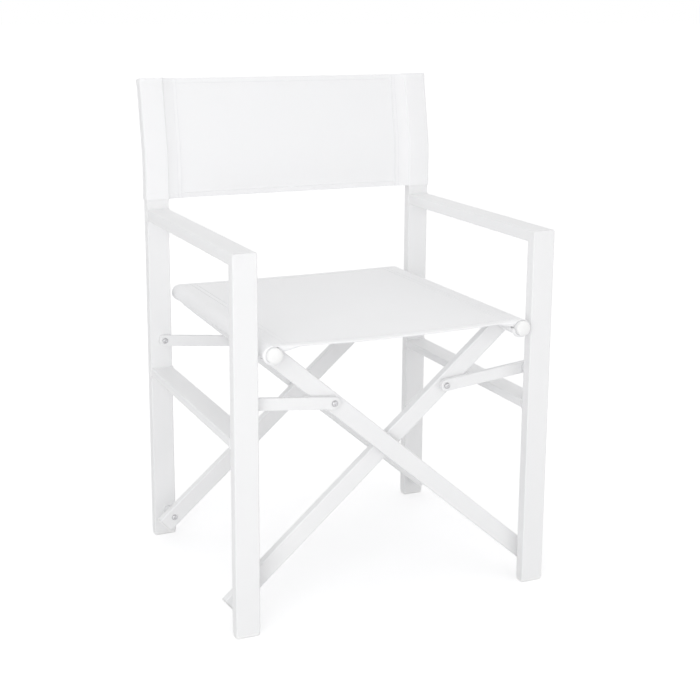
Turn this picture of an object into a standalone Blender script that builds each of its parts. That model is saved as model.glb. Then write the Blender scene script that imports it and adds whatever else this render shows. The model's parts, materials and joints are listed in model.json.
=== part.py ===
"""Folding director's chair: white aluminium side frames, crossed bars and two slings.

The chair faces -Y and stands on the plane z = 0. Lengths are in metres.
Each side frame is a front leg, a bent rear post, an armrest and a side rail.
Two pairs of crossed bars carry the seat tubes, and short links tie the bars to the legs.
"""
import math

import bmesh
import bpy
from mathutils import Matrix, Vector

# Side frames
WIDTH = 0.560
SIDE_DEPTH = 0.470
ARM_HEIGHT = 0.615
LEG_WIDTH = 0.040
LEG_DEPTH = 0.020
ARM_THICKNESS = 0.020
RAIL_THICKNESS = 0.015
RAIL_TOP = 0.324
WALL = 0.0015
EDGE_RADIUS = 0.002
FOOT_HEIGHT = 0.005
PLUG_LENGTH = 0.020
POST_HEIGHT = 0.840
BEND_HEIGHT = 0.690
BEND_RADIUS = 0.205
POST_LEAN = math.radians(11)

# Crossed bars, seat tubes and links
PIVOT_INSET = 0.015
LOWER_PIVOT_HEIGHT = 0.048
LINK_PIVOT_HEIGHT = 0.375
LINK_BAR_REACH = 0.105
LINK_WIDTH = 0.020
LINK_THICKNESS = 0.008
BAR_WIDTH = 0.030
BAR_THICKNESS = 0.015
BAR_TAIL = 0.022
BAR_PLUG_LIP = 0.002
BAR_PLUG_LENGTH = 0.010
TUBE_RADIUS = 0.0125
TUBE_INSET = 0.022
TUBE_HEIGHT = 0.457
TUBE_FRONT_OVERHANG = 0.012
TUBE_REAR_OVERHANG = 0.004
SADDLE_WIDTH = 0.018
CAP_DOME = 0.005
CAP_INSERT = 0.010

# Pivot hardware
BOLT_RADIUS = 0.003
HEAD_RADIUS = 0.00525
HEAD_HEIGHT = 0.0033
HEAD_FLAT_RADIUS = 0.003
SOCKET_RADIUS = 0.002
SOCKET_DEPTH = 0.002
THREAD_LENGTH = 0.008
NUT_RADIUS = 0.0048
SPACER_RADIUS = 0.008
WASHER_THICKNESS = 0.0015

# Slings
CLOTH = 0.0012
SEAT_SAG = 0.0015
SEAT_FRONT_SET = 0.005
SEAT_REAR_SET = 0.004
SEAT_SEAM_RUN = 0.018
SEAT_HEM = 0.012
NOTCH_ROOM = 0.0015
BACK_BOTTOM = 0.632
BACK_RISE = 0.003
BACK_SEAM_RUN = 0.018
BACK_HEM = 0.010
HEM_GAP = 0.0004

# Clearances and facets
GAP = 0.0003
MERGE_DISTANCE = 0.000001
CORNER_STEPS = 2
BEND_STEPS = 6
TUBE_SIDES = 24
BOLT_SIDES = 12
RING_SIDES = 24
LINK_END_STEPS = 8
DOME_STEPS = 3
SHARP_ANGLE = math.radians(35)
CLOTH_STEPS = 12

# Places that follow from the sizes above
INNER_X = WIDTH / 2 - LEG_WIDTH
LEG_X = WIDTH / 2 - LEG_WIDTH / 2
PIVOT_X = INNER_X + PIVOT_INSET
TUBE_X = INNER_X - TUBE_INSET
BAR_RISE = TUBE_HEIGHT - LOWER_PIVOT_HEIGHT
BAR_RUN = TUBE_X + PIVOT_X
BAR_ANGLE = math.atan2(BAR_RISE, BAR_RUN)
BAR_TOP = TUBE_X / math.cos(BAR_ANGLE)
BAR_BOTTOM = -PIVOT_X / math.cos(BAR_ANGLE) - BAR_TAIL
SADDLE_SET = math.sqrt(TUBE_RADIUS**2 - (SADDLE_WIDTH / 2) ** 2)
CENTRE_HEIGHT = LOWER_PIVOT_HEIGHT + PIVOT_X * BAR_RISE / BAR_RUN
LINK_BAR_HEIGHT = CENTRE_HEIGHT + LINK_BAR_REACH * BAR_RISE / BAR_RUN
HOLE_RADIUS = BOLT_RADIUS + GAP
SLEEVE_RADIUS = TUBE_RADIUS + GAP + CLOTH / 2
SLEEVE_OFFSET = GAP + CLOTH / 2
TUBE_LENGTH = TUBE_FRONT_OVERHANG + SIDE_DEPTH + TUBE_REAR_OVERHANG

# The bent post: its straight foot, its arc and its leaning top
BEND_END_Y = BEND_RADIUS * (1 - math.cos(POST_LEAN))
BEND_END_Z = BEND_HEIGHT + BEND_RADIUS * math.sin(POST_LEAN)
TOP_LENGTH = (POST_HEIGHT - BEND_END_Z) / math.cos(POST_LEAN)
POST_REACH = BEND_END_Y + (TOP_LENGTH + BACK_RISE) * math.sin(POST_LEAN)

# The origin is under the middle of the whole chair
FRONT_REACH = TUBE_FRONT_OVERHANG + CAP_DOME
POST_TOP_REACH = POST_REACH + (LEG_DEPTH / 2 + GAP + CLOTH) * math.cos(POST_LEAN) - LEG_DEPTH / 2
REAR_REACH = SIDE_DEPTH + max(POST_TOP_REACH, TUBE_REAR_OVERHANG + CAP_DOME)
FRONT_Y = (FRONT_REACH - REAR_REACH) / 2
REAR_Y = FRONT_Y + SIDE_DEPTH
POST_Y = REAR_Y - LEG_DEPTH / 2

# Layers between a leg's inner face and the middle of the chair, as distances from that face
BEARING = WASHER_THICKNESS + 2 * GAP
LINK_A_NEAR = GAP
LINK_A_FAR = LINK_A_NEAR + LINK_THICKNESS
BAR_A_NEAR = LINK_A_FAR + BEARING
BAR_A_FAR = BAR_A_NEAR + BAR_THICKNESS
BAR_B_NEAR = BAR_A_FAR + BEARING
BAR_B_FAR = BAR_B_NEAR + BAR_THICKNESS
LINK_B_FAR = BAR_B_NEAR - BEARING
LINK_B_NEAR = LINK_B_FAR - LINK_THICKNESS

SIDES = {"left": -1, "right": 1}
ENDS = {"front": 1, "rear": -1}
BAR_LAYERS = {"a": (BAR_A_NEAR, BAR_A_FAR), "b": (BAR_B_NEAR, BAR_B_FAR)}
BAR_TOP_SIDE = {"a": -1, "b": 1}
LOWER_BAR = {"left": "b", "right": "a"}
LINK_BAR = {"left": "a", "right": "b"}
LINK_LAYERS = {"left": (LINK_A_NEAR, LINK_A_FAR), "right": (LINK_B_NEAR, LINK_B_FAR)}
LEG_PIVOTS = {"lower": LOWER_PIVOT_HEIGHT, "link": LINK_PIVOT_HEIGHT}


def remove_everything():
    """Empty the scene."""
    for item in list(bpy.data.objects):
        bpy.data.objects.remove(item, do_unlink=True)


def new_collection(name):
    """A collection in the scene."""
    collection = bpy.data.collections.new(name)
    bpy.context.scene.collection.children.link(collection)
    return collection


def new_material(name, colour, roughness, metallic=0.0):
    """A plain Principled material."""
    material = bpy.data.materials.new(name)
    material.use_nodes = True
    shader = material.node_tree.nodes["Principled BSDF"]
    shader.inputs["Base Color"].default_value = (*colour, 1.0)
    shader.inputs["Roughness"].default_value = roughness
    shader.inputs["Metallic"].default_value = metallic
    return material


remove_everything()
CHAIR = new_collection("folding_chair")
CUTTERS = new_collection("cutters")
COATED = new_material("white_powder_coat", (0.90, 0.90, 0.91), 0.45)
PLASTIC = new_material("white_plastic", (0.86, 0.86, 0.87), 0.5)
NYLON = new_material("grey_nylon", (0.72, 0.73, 0.74), 0.55)
STEEL = new_material("stainless_steel", (0.58, 0.58, 0.60), 0.3, 1.0)
TEXTILE = new_material("white_sling_mesh", (0.84, 0.85, 0.87), 0.7)


def pivot_empty(name, x, z):
    """An empty on a joint's axis, which carries the pieces that turn about it."""
    empty = bpy.data.objects.new(name, None)
    empty.location = (x, 0.0, z)
    CHAIR.objects.link(empty)
    return empty


LEFT_FRAME = pivot_empty("left_frame_axis", -PIVOT_X, LOWER_PIVOT_HEIGHT)
RIGHT_FRAME = pivot_empty("right_frame_axis", PIVOT_X, LOWER_PIVOT_HEIGHT)
BARS_A = pivot_empty("bars_a_axis", 0.0, CENTRE_HEIGHT)
BARS_B = pivot_empty("bars_b_axis", -PIVOT_X, LOWER_PIVOT_HEIGHT)
LEFT_LINKS = pivot_empty("left_links_axis", -PIVOT_X, LINK_PIVOT_HEIGHT)
RIGHT_LINKS = pivot_empty("right_links_axis", PIVOT_X, LINK_PIVOT_HEIGHT)
FRAMES = {"left": LEFT_FRAME, "right": RIGHT_FRAME}
BARS = {"a": BARS_A, "b": BARS_B}
LINKS = {"left": LEFT_LINKS, "right": RIGHT_LINKS}


def placement(origin, x_axis, z_axis):
    """A matrix that puts a local frame at origin, with its X and Z along these directions."""
    z_axis = Vector(z_axis).normalized()
    x_axis = Vector(x_axis).normalized()
    y_axis = z_axis.cross(x_axis)
    matrix = Matrix((x_axis, y_axis, z_axis)).transposed().to_4x4()
    matrix.translation = origin
    return matrix


def add_part(name, mesh, material, carrier, matrix):
    """A named piece of the chair, carried by its joint's empty."""
    mesh.name = name
    mesh.materials.append(material)
    piece = bpy.data.objects.new(name, mesh)
    CHAIR.objects.link(piece)
    piece.parent = carrier
    piece.matrix_parent_inverse = Matrix.Translation(-Vector(carrier.location))
    piece.matrix_basis = matrix
    return piece


def add_cutter(name, mesh, matrix):
    """A hidden shape for a Boolean modifier."""
    cutter = bpy.data.objects.new(name, mesh)
    CUTTERS.objects.link(cutter)
    cutter.matrix_basis = matrix
    cutter.hide_render = True
    cutter.display_type = "WIRE"
    return cutter


def combine(piece, cutter, operation):
    """Cut a piece with a cutter, or join the cutter's shape to it."""
    modifier = piece.modifiers.new(cutter.name, "BOOLEAN")
    modifier.operation = operation
    modifier.object = cutter


def finish_mesh(bm, smooth=False):
    """A mesh from a bmesh, with its faces pointing out."""
    bmesh.ops.remove_doubles(bm, verts=bm.verts, dist=MERGE_DISTANCE)
    bmesh.ops.recalc_face_normals(bm, faces=bm.faces)
    mesh = bpy.data.meshes.new("mesh")
    bm.to_mesh(mesh)
    bm.free()
    if smooth:
        mesh.shade_smooth()
        mesh.set_sharp_from_angle(angle=SHARP_ANGLE)
    return mesh


def rounded_rectangle(width, depth, radius):
    """Points round a rectangle with round corners, centred on the origin."""
    points = []
    for corner in range(4):
        middle_x = (width / 2 - radius) * (1 if corner in (0, 3) else -1)
        middle_y = (depth / 2 - radius) * (1 if corner in (0, 1) else -1)
        for step in range(CORNER_STEPS + 1):
            angle = (corner + step / CORNER_STEPS) * math.pi / 2
            points.append((middle_x + radius * math.cos(angle), middle_y + radius * math.sin(angle)))
    return points


def circle(radius, sides):
    """Points round a circle, centred on the origin."""
    turns = [2 * math.pi * index / sides for index in range(sides)]
    return [(radius * math.cos(turn), radius * math.sin(turn)) for turn in turns]


def add_outline(bm, points, closed=True):
    """The edges of an outline in the plane z = 0."""
    corners = [bm.verts.new((x, y, 0.0)) for x, y in points]
    edges = [bm.edges.new(pair) for pair in zip(corners, corners[1:])]
    if closed:
        edges.append(bm.edges.new((corners[-1], corners[0])))
    return edges


def edges_of(geometry):
    """The edges in what a bmesh operation returns."""
    return [item for item in geometry if isinstance(item, bmesh.types.BMEdge)]


def vertices_of(edges):
    """The corners that some edges share."""
    return list({corner for edge in edges for corner in edge.verts})


def push(bm, edges, move):
    """Sweep edges along a straight move."""
    grown = edges_of(bmesh.ops.extrude_edge_only(bm, edges=edges)["geom"])
    bmesh.ops.translate(bm, verts=vertices_of(grown), vec=move)
    return grown


def bend_back(bm, edges, base_height):
    """Sweep edges round the post's bend, for an outline whose own z = 0 is at base_height."""
    spun = bmesh.ops.spin(
        bm,
        geom=edges,
        cent=(0.0, BEND_RADIUS, BEND_HEIGHT - base_height),
        axis=(-1.0, 0.0, 0.0),
        angle=POST_LEAN,
        steps=BEND_STEPS,
        use_merge=False,
        use_duplicate=False,
    )
    return edges_of(spun["geom_last"])


def sweep_up_post(bm, edges, base_height, top_length):
    """Sweep an outline up the post's centreline, from base_height to top_length above the bend."""
    edges = push(bm, edges, (0.0, 0.0, BEND_HEIGHT - base_height))
    edges = bend_back(bm, edges, base_height)
    lean = Vector((0.0, math.sin(POST_LEAN), math.cos(POST_LEAN)))
    return push(bm, edges, lean * top_length)


def hollow_tube(outer, inner, sweep):
    """A tube open at both ends, swept from an outer and an inner outline."""
    bm = bmesh.new()
    starts = [add_outline(bm, outline) for outline in (outer, inner)]
    lasts = [sweep(bm, start) for start in starts]
    for rings in (starts, lasts):
        bmesh.ops.triangle_fill(bm, use_beauty=True, edges=rings[0] + rings[1])
    return bm


def box_section(width, depth):
    """The outer and inner outlines of a rectangular tube."""
    outer = rounded_rectangle(width, depth, EDGE_RADIUS)
    inner = rounded_rectangle(width - 2 * WALL, depth - 2 * WALL, EDGE_RADIUS / 2)
    return outer, inner


def straight_box_tube(width, depth, length):
    """A straight rectangular tube along +Z, from z = 0."""
    outer, inner = box_section(width, depth)
    return hollow_tube(outer, inner, lambda bm, edges: push(bm, edges, (0.0, 0.0, length)))


def cylinder(radius, length, sides=BOLT_SIDES):
    """A solid cylinder along +Z, from z = 0."""
    bm = bmesh.new()
    half = Matrix.Translation((0.0, 0.0, length / 2))
    bmesh.ops.create_cone(
        bm, cap_ends=True, segments=sides, radius1=radius, radius2=radius, depth=length, matrix=half
    )
    return finish_mesh(bm)


def settled(holder, smooth):
    """The evaluated mesh of a helper object, welded, with the helper removed."""
    CUTTERS.objects.link(holder)
    evaluated = holder.evaluated_get(bpy.context.evaluated_depsgraph_get())
    raw = bpy.data.meshes.new_from_object(evaluated)
    bm = bmesh.new()
    bm.from_mesh(raw)
    bpy.data.objects.remove(holder, do_unlink=True)
    bpy.data.meshes.remove(raw)
    return finish_mesh(bm, smooth)


def turned(profile, sides=BOLT_SIDES):
    """A turned shape. The profile's points are (radius, height), and run down its outer side."""
    bm = bmesh.new()
    corners = [bm.verts.new((radius, 0.0, height)) for radius, height in profile]
    for pair in zip(corners, corners[1:]):
        bm.edges.new(pair)
    if profile[0][0] > 0.0:
        bm.edges.new((corners[-1], corners[0]))
    outline = bpy.data.meshes.new("profile")
    bm.to_mesh(outline)
    bm.free()
    holder = bpy.data.objects.new("profile", outline)
    screw = holder.modifiers.new("turn", "SCREW")
    screw.steps = sides
    screw.render_steps = sides
    screw.use_merge_vertices = True
    screw.merge_threshold = MERGE_DISTANCE
    return settled(holder, smooth=True)


def dome(inner, outer, base, height):
    """Profile points of a round crown, from its flat at radius inner down to its rim at base."""
    turns = [math.pi / 2 * step / DOME_STEPS for step in range(DOME_STEPS + 1)]
    return [(inner + (outer - inner) * math.sin(turn), base + height * math.cos(turn)) for turn in turns]


def plug(width, depth, lip, length):
    """An end plug: a lip as wide as its tube below z = 0, and an insert above it."""
    bm = bmesh.new()
    bmesh.ops.contextual_create(bm, geom=add_outline(bm, rounded_rectangle(width, depth, EDGE_RADIUS)))
    bottom = bm.faces[:]
    grown = bmesh.ops.extrude_face_region(bm, geom=bottom)["geom"]
    top = [item for item in grown if isinstance(item, bmesh.types.BMFace)]
    bmesh.ops.translate(bm, verts=list(top[0].verts), vec=(0.0, 0.0, lip))
    bmesh.ops.inset_individual(bm, faces=top, thickness=WALL + GAP)
    grown = bmesh.ops.extrude_face_region(bm, geom=top)["geom"]
    crown = [item for item in grown if isinstance(item, bmesh.types.BMFace)]
    bmesh.ops.translate(bm, verts=list(crown[0].verts), vec=(0.0, 0.0, length + GAP))
    bmesh.ops.delete(bm, geom=top, context="FACES_ONLY")
    bmesh.ops.translate(bm, verts=bm.verts, vec=(0.0, 0.0, -lip - GAP))
    return finish_mesh(bm)


def leg_face_y(end):
    """The Y of a leg's face that looks at the middle of the chair."""
    if end == "front":
        return FRONT_Y + LEG_DEPTH
    return REAR_Y - LEG_DEPTH


def layer_y(end, distance):
    """The Y of a layer at this distance from a leg's inner face."""
    return leg_face_y(end) + ENDS[end] * distance


def towards_middle(end):
    """The direction from a leg to the middle of the chair."""
    return Vector((0.0, ENDS[end], 0.0))


def drill(piece, name, x, z, y_from, y_to):
    """A bolt hole along Y."""
    low = min(y_from, y_to) - GAP
    high = max(y_from, y_to) + GAP
    matrix = placement((x, low, z), (1, 0, 0), (0, 1, 0))
    combine(piece, add_cutter(name, cylinder(HOLE_RADIUS, high - low), matrix), "DIFFERENCE")


def rivet_nut(piece, name, x, z, face_y, inward):
    """A threaded barrel set in a tube's wall at face_y. inward points into the tube along Y."""
    root = placement((x, face_y + inward * WALL / 2, z), (1, 0, 0), (0, inward, 0))
    barrel = add_cutter(name + "_barrel", cylinder(NUT_RADIUS, THREAD_LENGTH), root)
    combine(piece, barrel, "UNION")
    drill(piece, name + "_hole", x, z, face_y, face_y + inward * (THREAD_LENGTH + WALL))


def set_leg_nuts(leg, side, end):
    """The two rivet nuts in a leg's inner face."""
    for pivot, height in LEG_PIVOTS.items():
        name = f"{leg.name}_{pivot}_nut"
        rivet_nut(leg, name, SIDES[side] * PIVOT_X, height, leg_face_y(end), -ENDS[end])


def front_leg(side):
    """A front leg, mitred at the top where the armrest meets it."""
    bm = straight_box_tube(LEG_WIDTH, LEG_DEPTH, ARM_HEIGHT - FOOT_HEIGHT)
    top = [corner for corner in bm.verts if corner.co.z > FOOT_HEIGHT]
    for corner in top:
        fall = (corner.co.y + LEG_DEPTH / 2) * ARM_THICKNESS / LEG_DEPTH
        corner.co.z -= fall + GAP
    place = Matrix.Translation((SIDES[side] * LEG_X, FRONT_Y + LEG_DEPTH / 2, FOOT_HEIGHT))
    leg = add_part(f"front_leg_{side}", finish_mesh(bm), COATED, FRAMES[side], place)
    set_leg_nuts(leg, side, "front")


def rear_post(side):
    """A rear leg that goes on up as the back's post, bent back above the armrest."""
    outer, inner = box_section(LEG_WIDTH, LEG_DEPTH)
    bm = hollow_tube(outer, inner, lambda bm, edges: sweep_up_post(bm, edges, FOOT_HEIGHT, TOP_LENGTH))
    place = Matrix.Translation((SIDES[side] * LEG_X, POST_Y, FOOT_HEIGHT))
    post = add_part(f"rear_post_{side}", finish_mesh(bm), COATED, FRAMES[side], place)
    set_leg_nuts(post, side, "rear")


def armrest(side):
    """A flat armrest from the front leg's mitre to the rear post."""
    length = SIDE_DEPTH - LEG_DEPTH - GAP
    bm = straight_box_tube(LEG_WIDTH, ARM_THICKNESS, length)
    front = [corner for corner in bm.verts if corner.co.z < length / 2]
    for corner in front:
        corner.co.z += (corner.co.y + ARM_THICKNESS / 2) * LEG_DEPTH / ARM_THICKNESS + GAP
    middle = (SIDES[side] * LEG_X, FRONT_Y, ARM_HEIGHT - ARM_THICKNESS / 2)
    place = placement(middle, (1, 0, 0), (0, 1, 0))
    add_part(f"armrest_{side}", finish_mesh(bm), COATED, FRAMES[side], place)


def side_rail(side):
    """The low rail between a side's two legs."""
    length = SIDE_DEPTH - 2 * LEG_DEPTH - 2 * GAP
    bm = straight_box_tube(LEG_WIDTH, RAIL_THICKNESS, length)
    start = (SIDES[side] * LEG_X, FRONT_Y + LEG_DEPTH + GAP, RAIL_TOP - RAIL_THICKNESS / 2)
    place = placement(start, (1, 0, 0), (0, 1, 0))
    add_part(f"side_rail_{side}", finish_mesh(bm), COATED, FRAMES[side], place)


def feet(side):
    """The two plugs that a side frame stands on."""
    for end, y in (("front", FRONT_Y + LEG_DEPTH / 2), ("rear", POST_Y)):
        mesh = plug(LEG_WIDTH, LEG_DEPTH, FOOT_HEIGHT - GAP, PLUG_LENGTH)
        place = Matrix.Translation((SIDES[side] * LEG_X, y, FOOT_HEIGHT))
        add_part(f"{end}_foot_{side}", mesh, PLASTIC, FRAMES[side], place)


def post_cap(side):
    """The plug in the open top of a post."""
    mesh = plug(LEG_WIDTH, LEG_DEPTH, BACK_RISE - GAP, PLUG_LENGTH)
    top = (SIDES[side] * LEG_X, POST_Y + BEND_END_Y + TOP_LENGTH * math.sin(POST_LEAN), POST_HEIGHT)
    down = (0.0, -math.sin(POST_LEAN), -math.cos(POST_LEAN))
    place = placement(top, (1, 0, 0), down)
    add_part(f"post_cap_{side}", mesh, PLASTIC, FRAMES[side], place)


def bar_frame(bar, end, distance):
    """A frame on a bar's centreline at this distance up from the centre pivot, with Z up the bar."""
    top_side = BAR_TOP_SIDE[bar]
    up = Vector((top_side * math.cos(BAR_ANGLE), 0.0, math.sin(BAR_ANGLE)))
    y = sum(layer_y(end, edge) for edge in BAR_LAYERS[bar]) / 2
    origin = Vector((0.0, y, CENTRE_HEIGHT)) + up * distance
    across = Vector((0.0, 1.0, 0.0)).cross(up)
    return placement(origin, across, up)


def crossbar(bar, end):
    """One crossed bar: coped under its seat tube, plugged at its foot, drilled for its pivots."""
    top = BAR_TOP - SADDLE_SET
    bm = straight_box_tube(BAR_WIDTH, BAR_THICKNESS, top - BAR_BOTTOM)
    name = f"crossbar_{bar}_{end}"
    piece = add_part(name, finish_mesh(bm), COATED, BARS[bar], bar_frame(bar, end, BAR_BOTTOM))
    seat = (BAR_TOP_SIDE[bar] * TUBE_X, FRONT_Y, TUBE_HEIGHT)
    saddle = cylinder(TUBE_RADIUS + GAP, SIDE_DEPTH, TUBE_SIDES)
    cutter = add_cutter(name + "_saddle", saddle, placement(seat, (1, 0, 0), (0, 1, 0)))
    combine(piece, cutter, "DIFFERENCE")
    near, far = (layer_y(end, edge) for edge in BAR_LAYERS[bar])
    side = BAR_TOP_SIDE[bar]
    drill(piece, name + "_foot_hole", -side * PIVOT_X, LOWER_PIVOT_HEIGHT, near, far)
    drill(piece, name + "_link_hole", side * LINK_BAR_REACH, LINK_BAR_HEIGHT, near, far)
    if bar == "b":
        drill(piece, name + "_centre_hole", 0.0, CENTRE_HEIGHT, near, far)
    else:
        rivet_nut(piece, name + "_centre_nut", 0.0, CENTRE_HEIGHT, far, -ENDS[end])
    foot = plug(BAR_WIDTH, BAR_THICKNESS, BAR_PLUG_LIP, BAR_PLUG_LENGTH)
    add_part(name + "_plug", foot, PLASTIC, BARS[bar], bar_frame(bar, end, BAR_BOTTOM))


def seat_tube(bar):
    """The round tube that a pair of bars carries, with a domed cap in each end."""
    side = "left" if BAR_TOP_SIDE[bar] < 0 else "right"
    bm = hollow_tube(
        circle(TUBE_RADIUS, TUBE_SIDES),
        circle(TUBE_RADIUS - WALL, TUBE_SIDES),
        lambda bm, edges: push(bm, edges, (0.0, 0.0, TUBE_LENGTH)),
    )
    front = Vector((SIDES[side] * TUBE_X, FRONT_Y - TUBE_FRONT_OVERHANG, TUBE_HEIGHT))
    rear = front + Vector((0.0, TUBE_LENGTH, 0.0))
    place = placement(front, (1, 0, 0), (0, 1, 0))
    add_part(f"seat_tube_{side}", finish_mesh(bm, smooth=True), COATED, BARS[bar], place)
    insert = TUBE_RADIUS - WALL - GAP
    cap = dome(0.0, TUBE_RADIUS, GAP, CAP_DOME - GAP)
    cap += [(insert, GAP), (insert, -CAP_INSERT), (0.0, -CAP_INSERT)]
    for end, place, out in (("front", front, -1), ("rear", rear, 1)):
        matrix = placement(place, (1, 0, 0), (0, out, 0))
        add_part(f"seat_tube_cap_{side}_{end}", turned(cap, TUBE_SIDES), PLASTIC, BARS[bar], matrix)


def link_outline(length):
    """A flat link's outline: two round ends about its pivots, at x = 0 and x = length."""
    points = []
    for middle, start in ((length, -math.pi / 2), (0.0, math.pi / 2)):
        for step in range(LINK_END_STEPS + 1):
            angle = start + math.pi * step / LINK_END_STEPS
            points.append((middle + LINK_WIDTH / 2 * math.cos(angle), LINK_WIDTH / 2 * math.sin(angle)))
    return points


def flat_plate(points, thickness):
    """A flat outline, half its thickness to each side of z = 0."""
    curve = bpy.data.curves.new("outline", "CURVE")
    curve.dimensions = "2D"
    curve.fill_mode = "BOTH"
    curve.extrude = thickness / 2
    spline = curve.splines.new("POLY")
    spline.points.add(len(points) - 1)
    for point, (x, y) in zip(spline.points, points):
        point.co = (x, y, 0.0, 1.0)
    spline.use_cyclic_u = True
    return settled(bpy.data.objects.new("outline", curve), smooth=False)


def link(side, end):
    """A flat link from a leg to a bar, with the bolt that ties it to the bar."""
    near, far = (layer_y(end, edge) for edge in LINK_LAYERS[side])
    middle = (near + far) / 2
    leg_pivot = Vector((SIDES[side] * PIVOT_X, middle, LINK_PIVOT_HEIGHT))
    bar_pivot = Vector((SIDES[side] * LINK_BAR_REACH, middle, LINK_BAR_HEIGHT))
    span = bar_pivot - leg_pivot
    plate = flat_plate(link_outline(span.length), LINK_THICKNESS)
    name = f"link_{side}_{end}"
    piece = add_part(name, plate, COATED, LINKS[side], placement(leg_pivot, span, towards_middle(end)))
    drill(piece, name + "_leg_hole", leg_pivot.x, leg_pivot.z, near, far)
    drill(piece, name + "_bar_hole", bar_pivot.x, bar_pivot.z, near, far)
    seat = (bar_pivot.x, near - ENDS[end] * GAP, bar_pivot.z)
    bolt(f"link_bar_bolt_{side}_{end}", LINKS[side], seat, -towards_middle(end), LINK_THICKNESS + GAP)


def bolt(name, carrier, seat, out, length):
    """A button-head bolt. Its head stands on the seat point, along out, and its shank points back."""
    floor = HEAD_HEIGHT - SOCKET_DEPTH
    profile = [(0.0, floor), (SOCKET_RADIUS, floor), (SOCKET_RADIUS, HEAD_HEIGHT)]
    profile += dome(HEAD_FLAT_RADIUS, HEAD_RADIUS, 0.0, HEAD_HEIGHT)
    profile += [(BOLT_RADIUS, 0.0), (BOLT_RADIUS, -length), (0.0, -length)]
    add_part(name, turned(profile), STEEL, carrier, placement(seat, (1, 0, 0), out))


def ring(name, carrier, start, along, length):
    """A spacer or washer round a bolt, from the start point along a direction."""
    outline = [
        (SPACER_RADIUS, length),
        (SPACER_RADIUS, 0.0),
        (HOLE_RADIUS, 0.0),
        (HOLE_RADIUS, length),
    ]
    add_part(name, turned(outline, RING_SIDES), NYLON, carrier, placement(start, (1, 0, 0), along))


def leg_bolt(name, side, end, height, far):
    """A bolt from the middle of the chair into a leg's rivet nut, with its head at the layer far."""
    seat = (SIDES[side] * PIVOT_X, layer_y(end, far + GAP), height)
    bolt(name, FRAMES[side], seat, towards_middle(end), far + GAP + THREAD_LENGTH)


def leg_spacer(name, side, end, height, near):
    """A spacer round a leg's bolt, from the leg to the layer near."""
    start = (SIDES[side] * PIVOT_X, layer_y(end, GAP), height)
    ring(name, FRAMES[side], start, towards_middle(end), near - 2 * GAP)


def leg_hardware(side, end):
    """The bolts into a leg, and the spacers that hold a bar's foot or a link off it."""
    bar_near, bar_far = BAR_LAYERS[LOWER_BAR[side]]
    link_near, link_far = LINK_LAYERS[side]
    leg_bolt(f"lower_bolt_{side}_{end}", side, end, LOWER_PIVOT_HEIGHT, bar_far)
    leg_bolt(f"link_leg_bolt_{side}_{end}", side, end, LINK_PIVOT_HEIGHT, link_far)
    leg_spacer(f"lower_spacer_{side}_{end}", side, end, LOWER_PIVOT_HEIGHT, bar_near)
    if link_near > LINK_A_NEAR:
        leg_spacer(f"link_spacer_{side}_{end}", side, end, LINK_PIVOT_HEIGHT, link_near)


def link_bush(side, end):
    """The shouldered bush in a bar that its link turns against."""
    bar = LINK_BAR[side]
    near, far = BAR_LAYERS[bar]
    stem = -WASHER_THICKNESS - GAP - (far - near)
    profile = [
        (0.0, 0.0),
        (SPACER_RADIUS, 0.0),
        (SPACER_RADIUS, -WASHER_THICKNESS),
        (BOLT_RADIUS, -WASHER_THICKNESS),
        (BOLT_RADIUS, stem),
        (0.0, stem),
    ]
    place = (SIDES[side] * LINK_BAR_REACH, layer_y(end, LINK_LAYERS[side][1] + GAP), LINK_BAR_HEIGHT)
    matrix = placement(place, (1, 0, 0), -towards_middle(end))
    add_part(f"link_bush_{side}_{end}", turned(profile, RING_SIDES), NYLON, BARS[bar], matrix)


def centre_pivot(end):
    """The bolt that joins two crossed bars, and the washer between them."""
    start = (0.0, layer_y(end, BAR_A_FAR + GAP), CENTRE_HEIGHT)
    ring(f"centre_washer_{end}", BARS_B, start, towards_middle(end), WASHER_THICKNESS)
    head = (0.0, layer_y(end, BAR_B_FAR + GAP), CENTRE_HEIGHT)
    length = BAR_B_FAR + GAP - BAR_A_FAR + THREAD_LENGTH
    bolt(f"centre_bolt_{end}", BARS_A, head, towards_middle(end), length)


def cloth_sheet(name, profile, sweep, carrier, matrix):
    """A sling: an open outline swept into a sheet, and made as thick as its cloth."""
    bm = bmesh.new()
    sweep(bm, add_outline(bm, profile, closed=False))
    mesh = finish_mesh(bm, smooth=True)
    piece = add_part(name, mesh, TEXTILE, carrier, matrix)
    thick = piece.modifiers.new("cloth", "SOLIDIFY")
    thick.thickness = CLOTH
    thick.offset = 0.0
    thick.use_even_offset = True
    return piece


def mirrored(half):
    """A half outline, from its middle point out, joined to its mirror image."""
    return [(-x, y) for x, y in reversed(half)] + half[1:]


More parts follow.
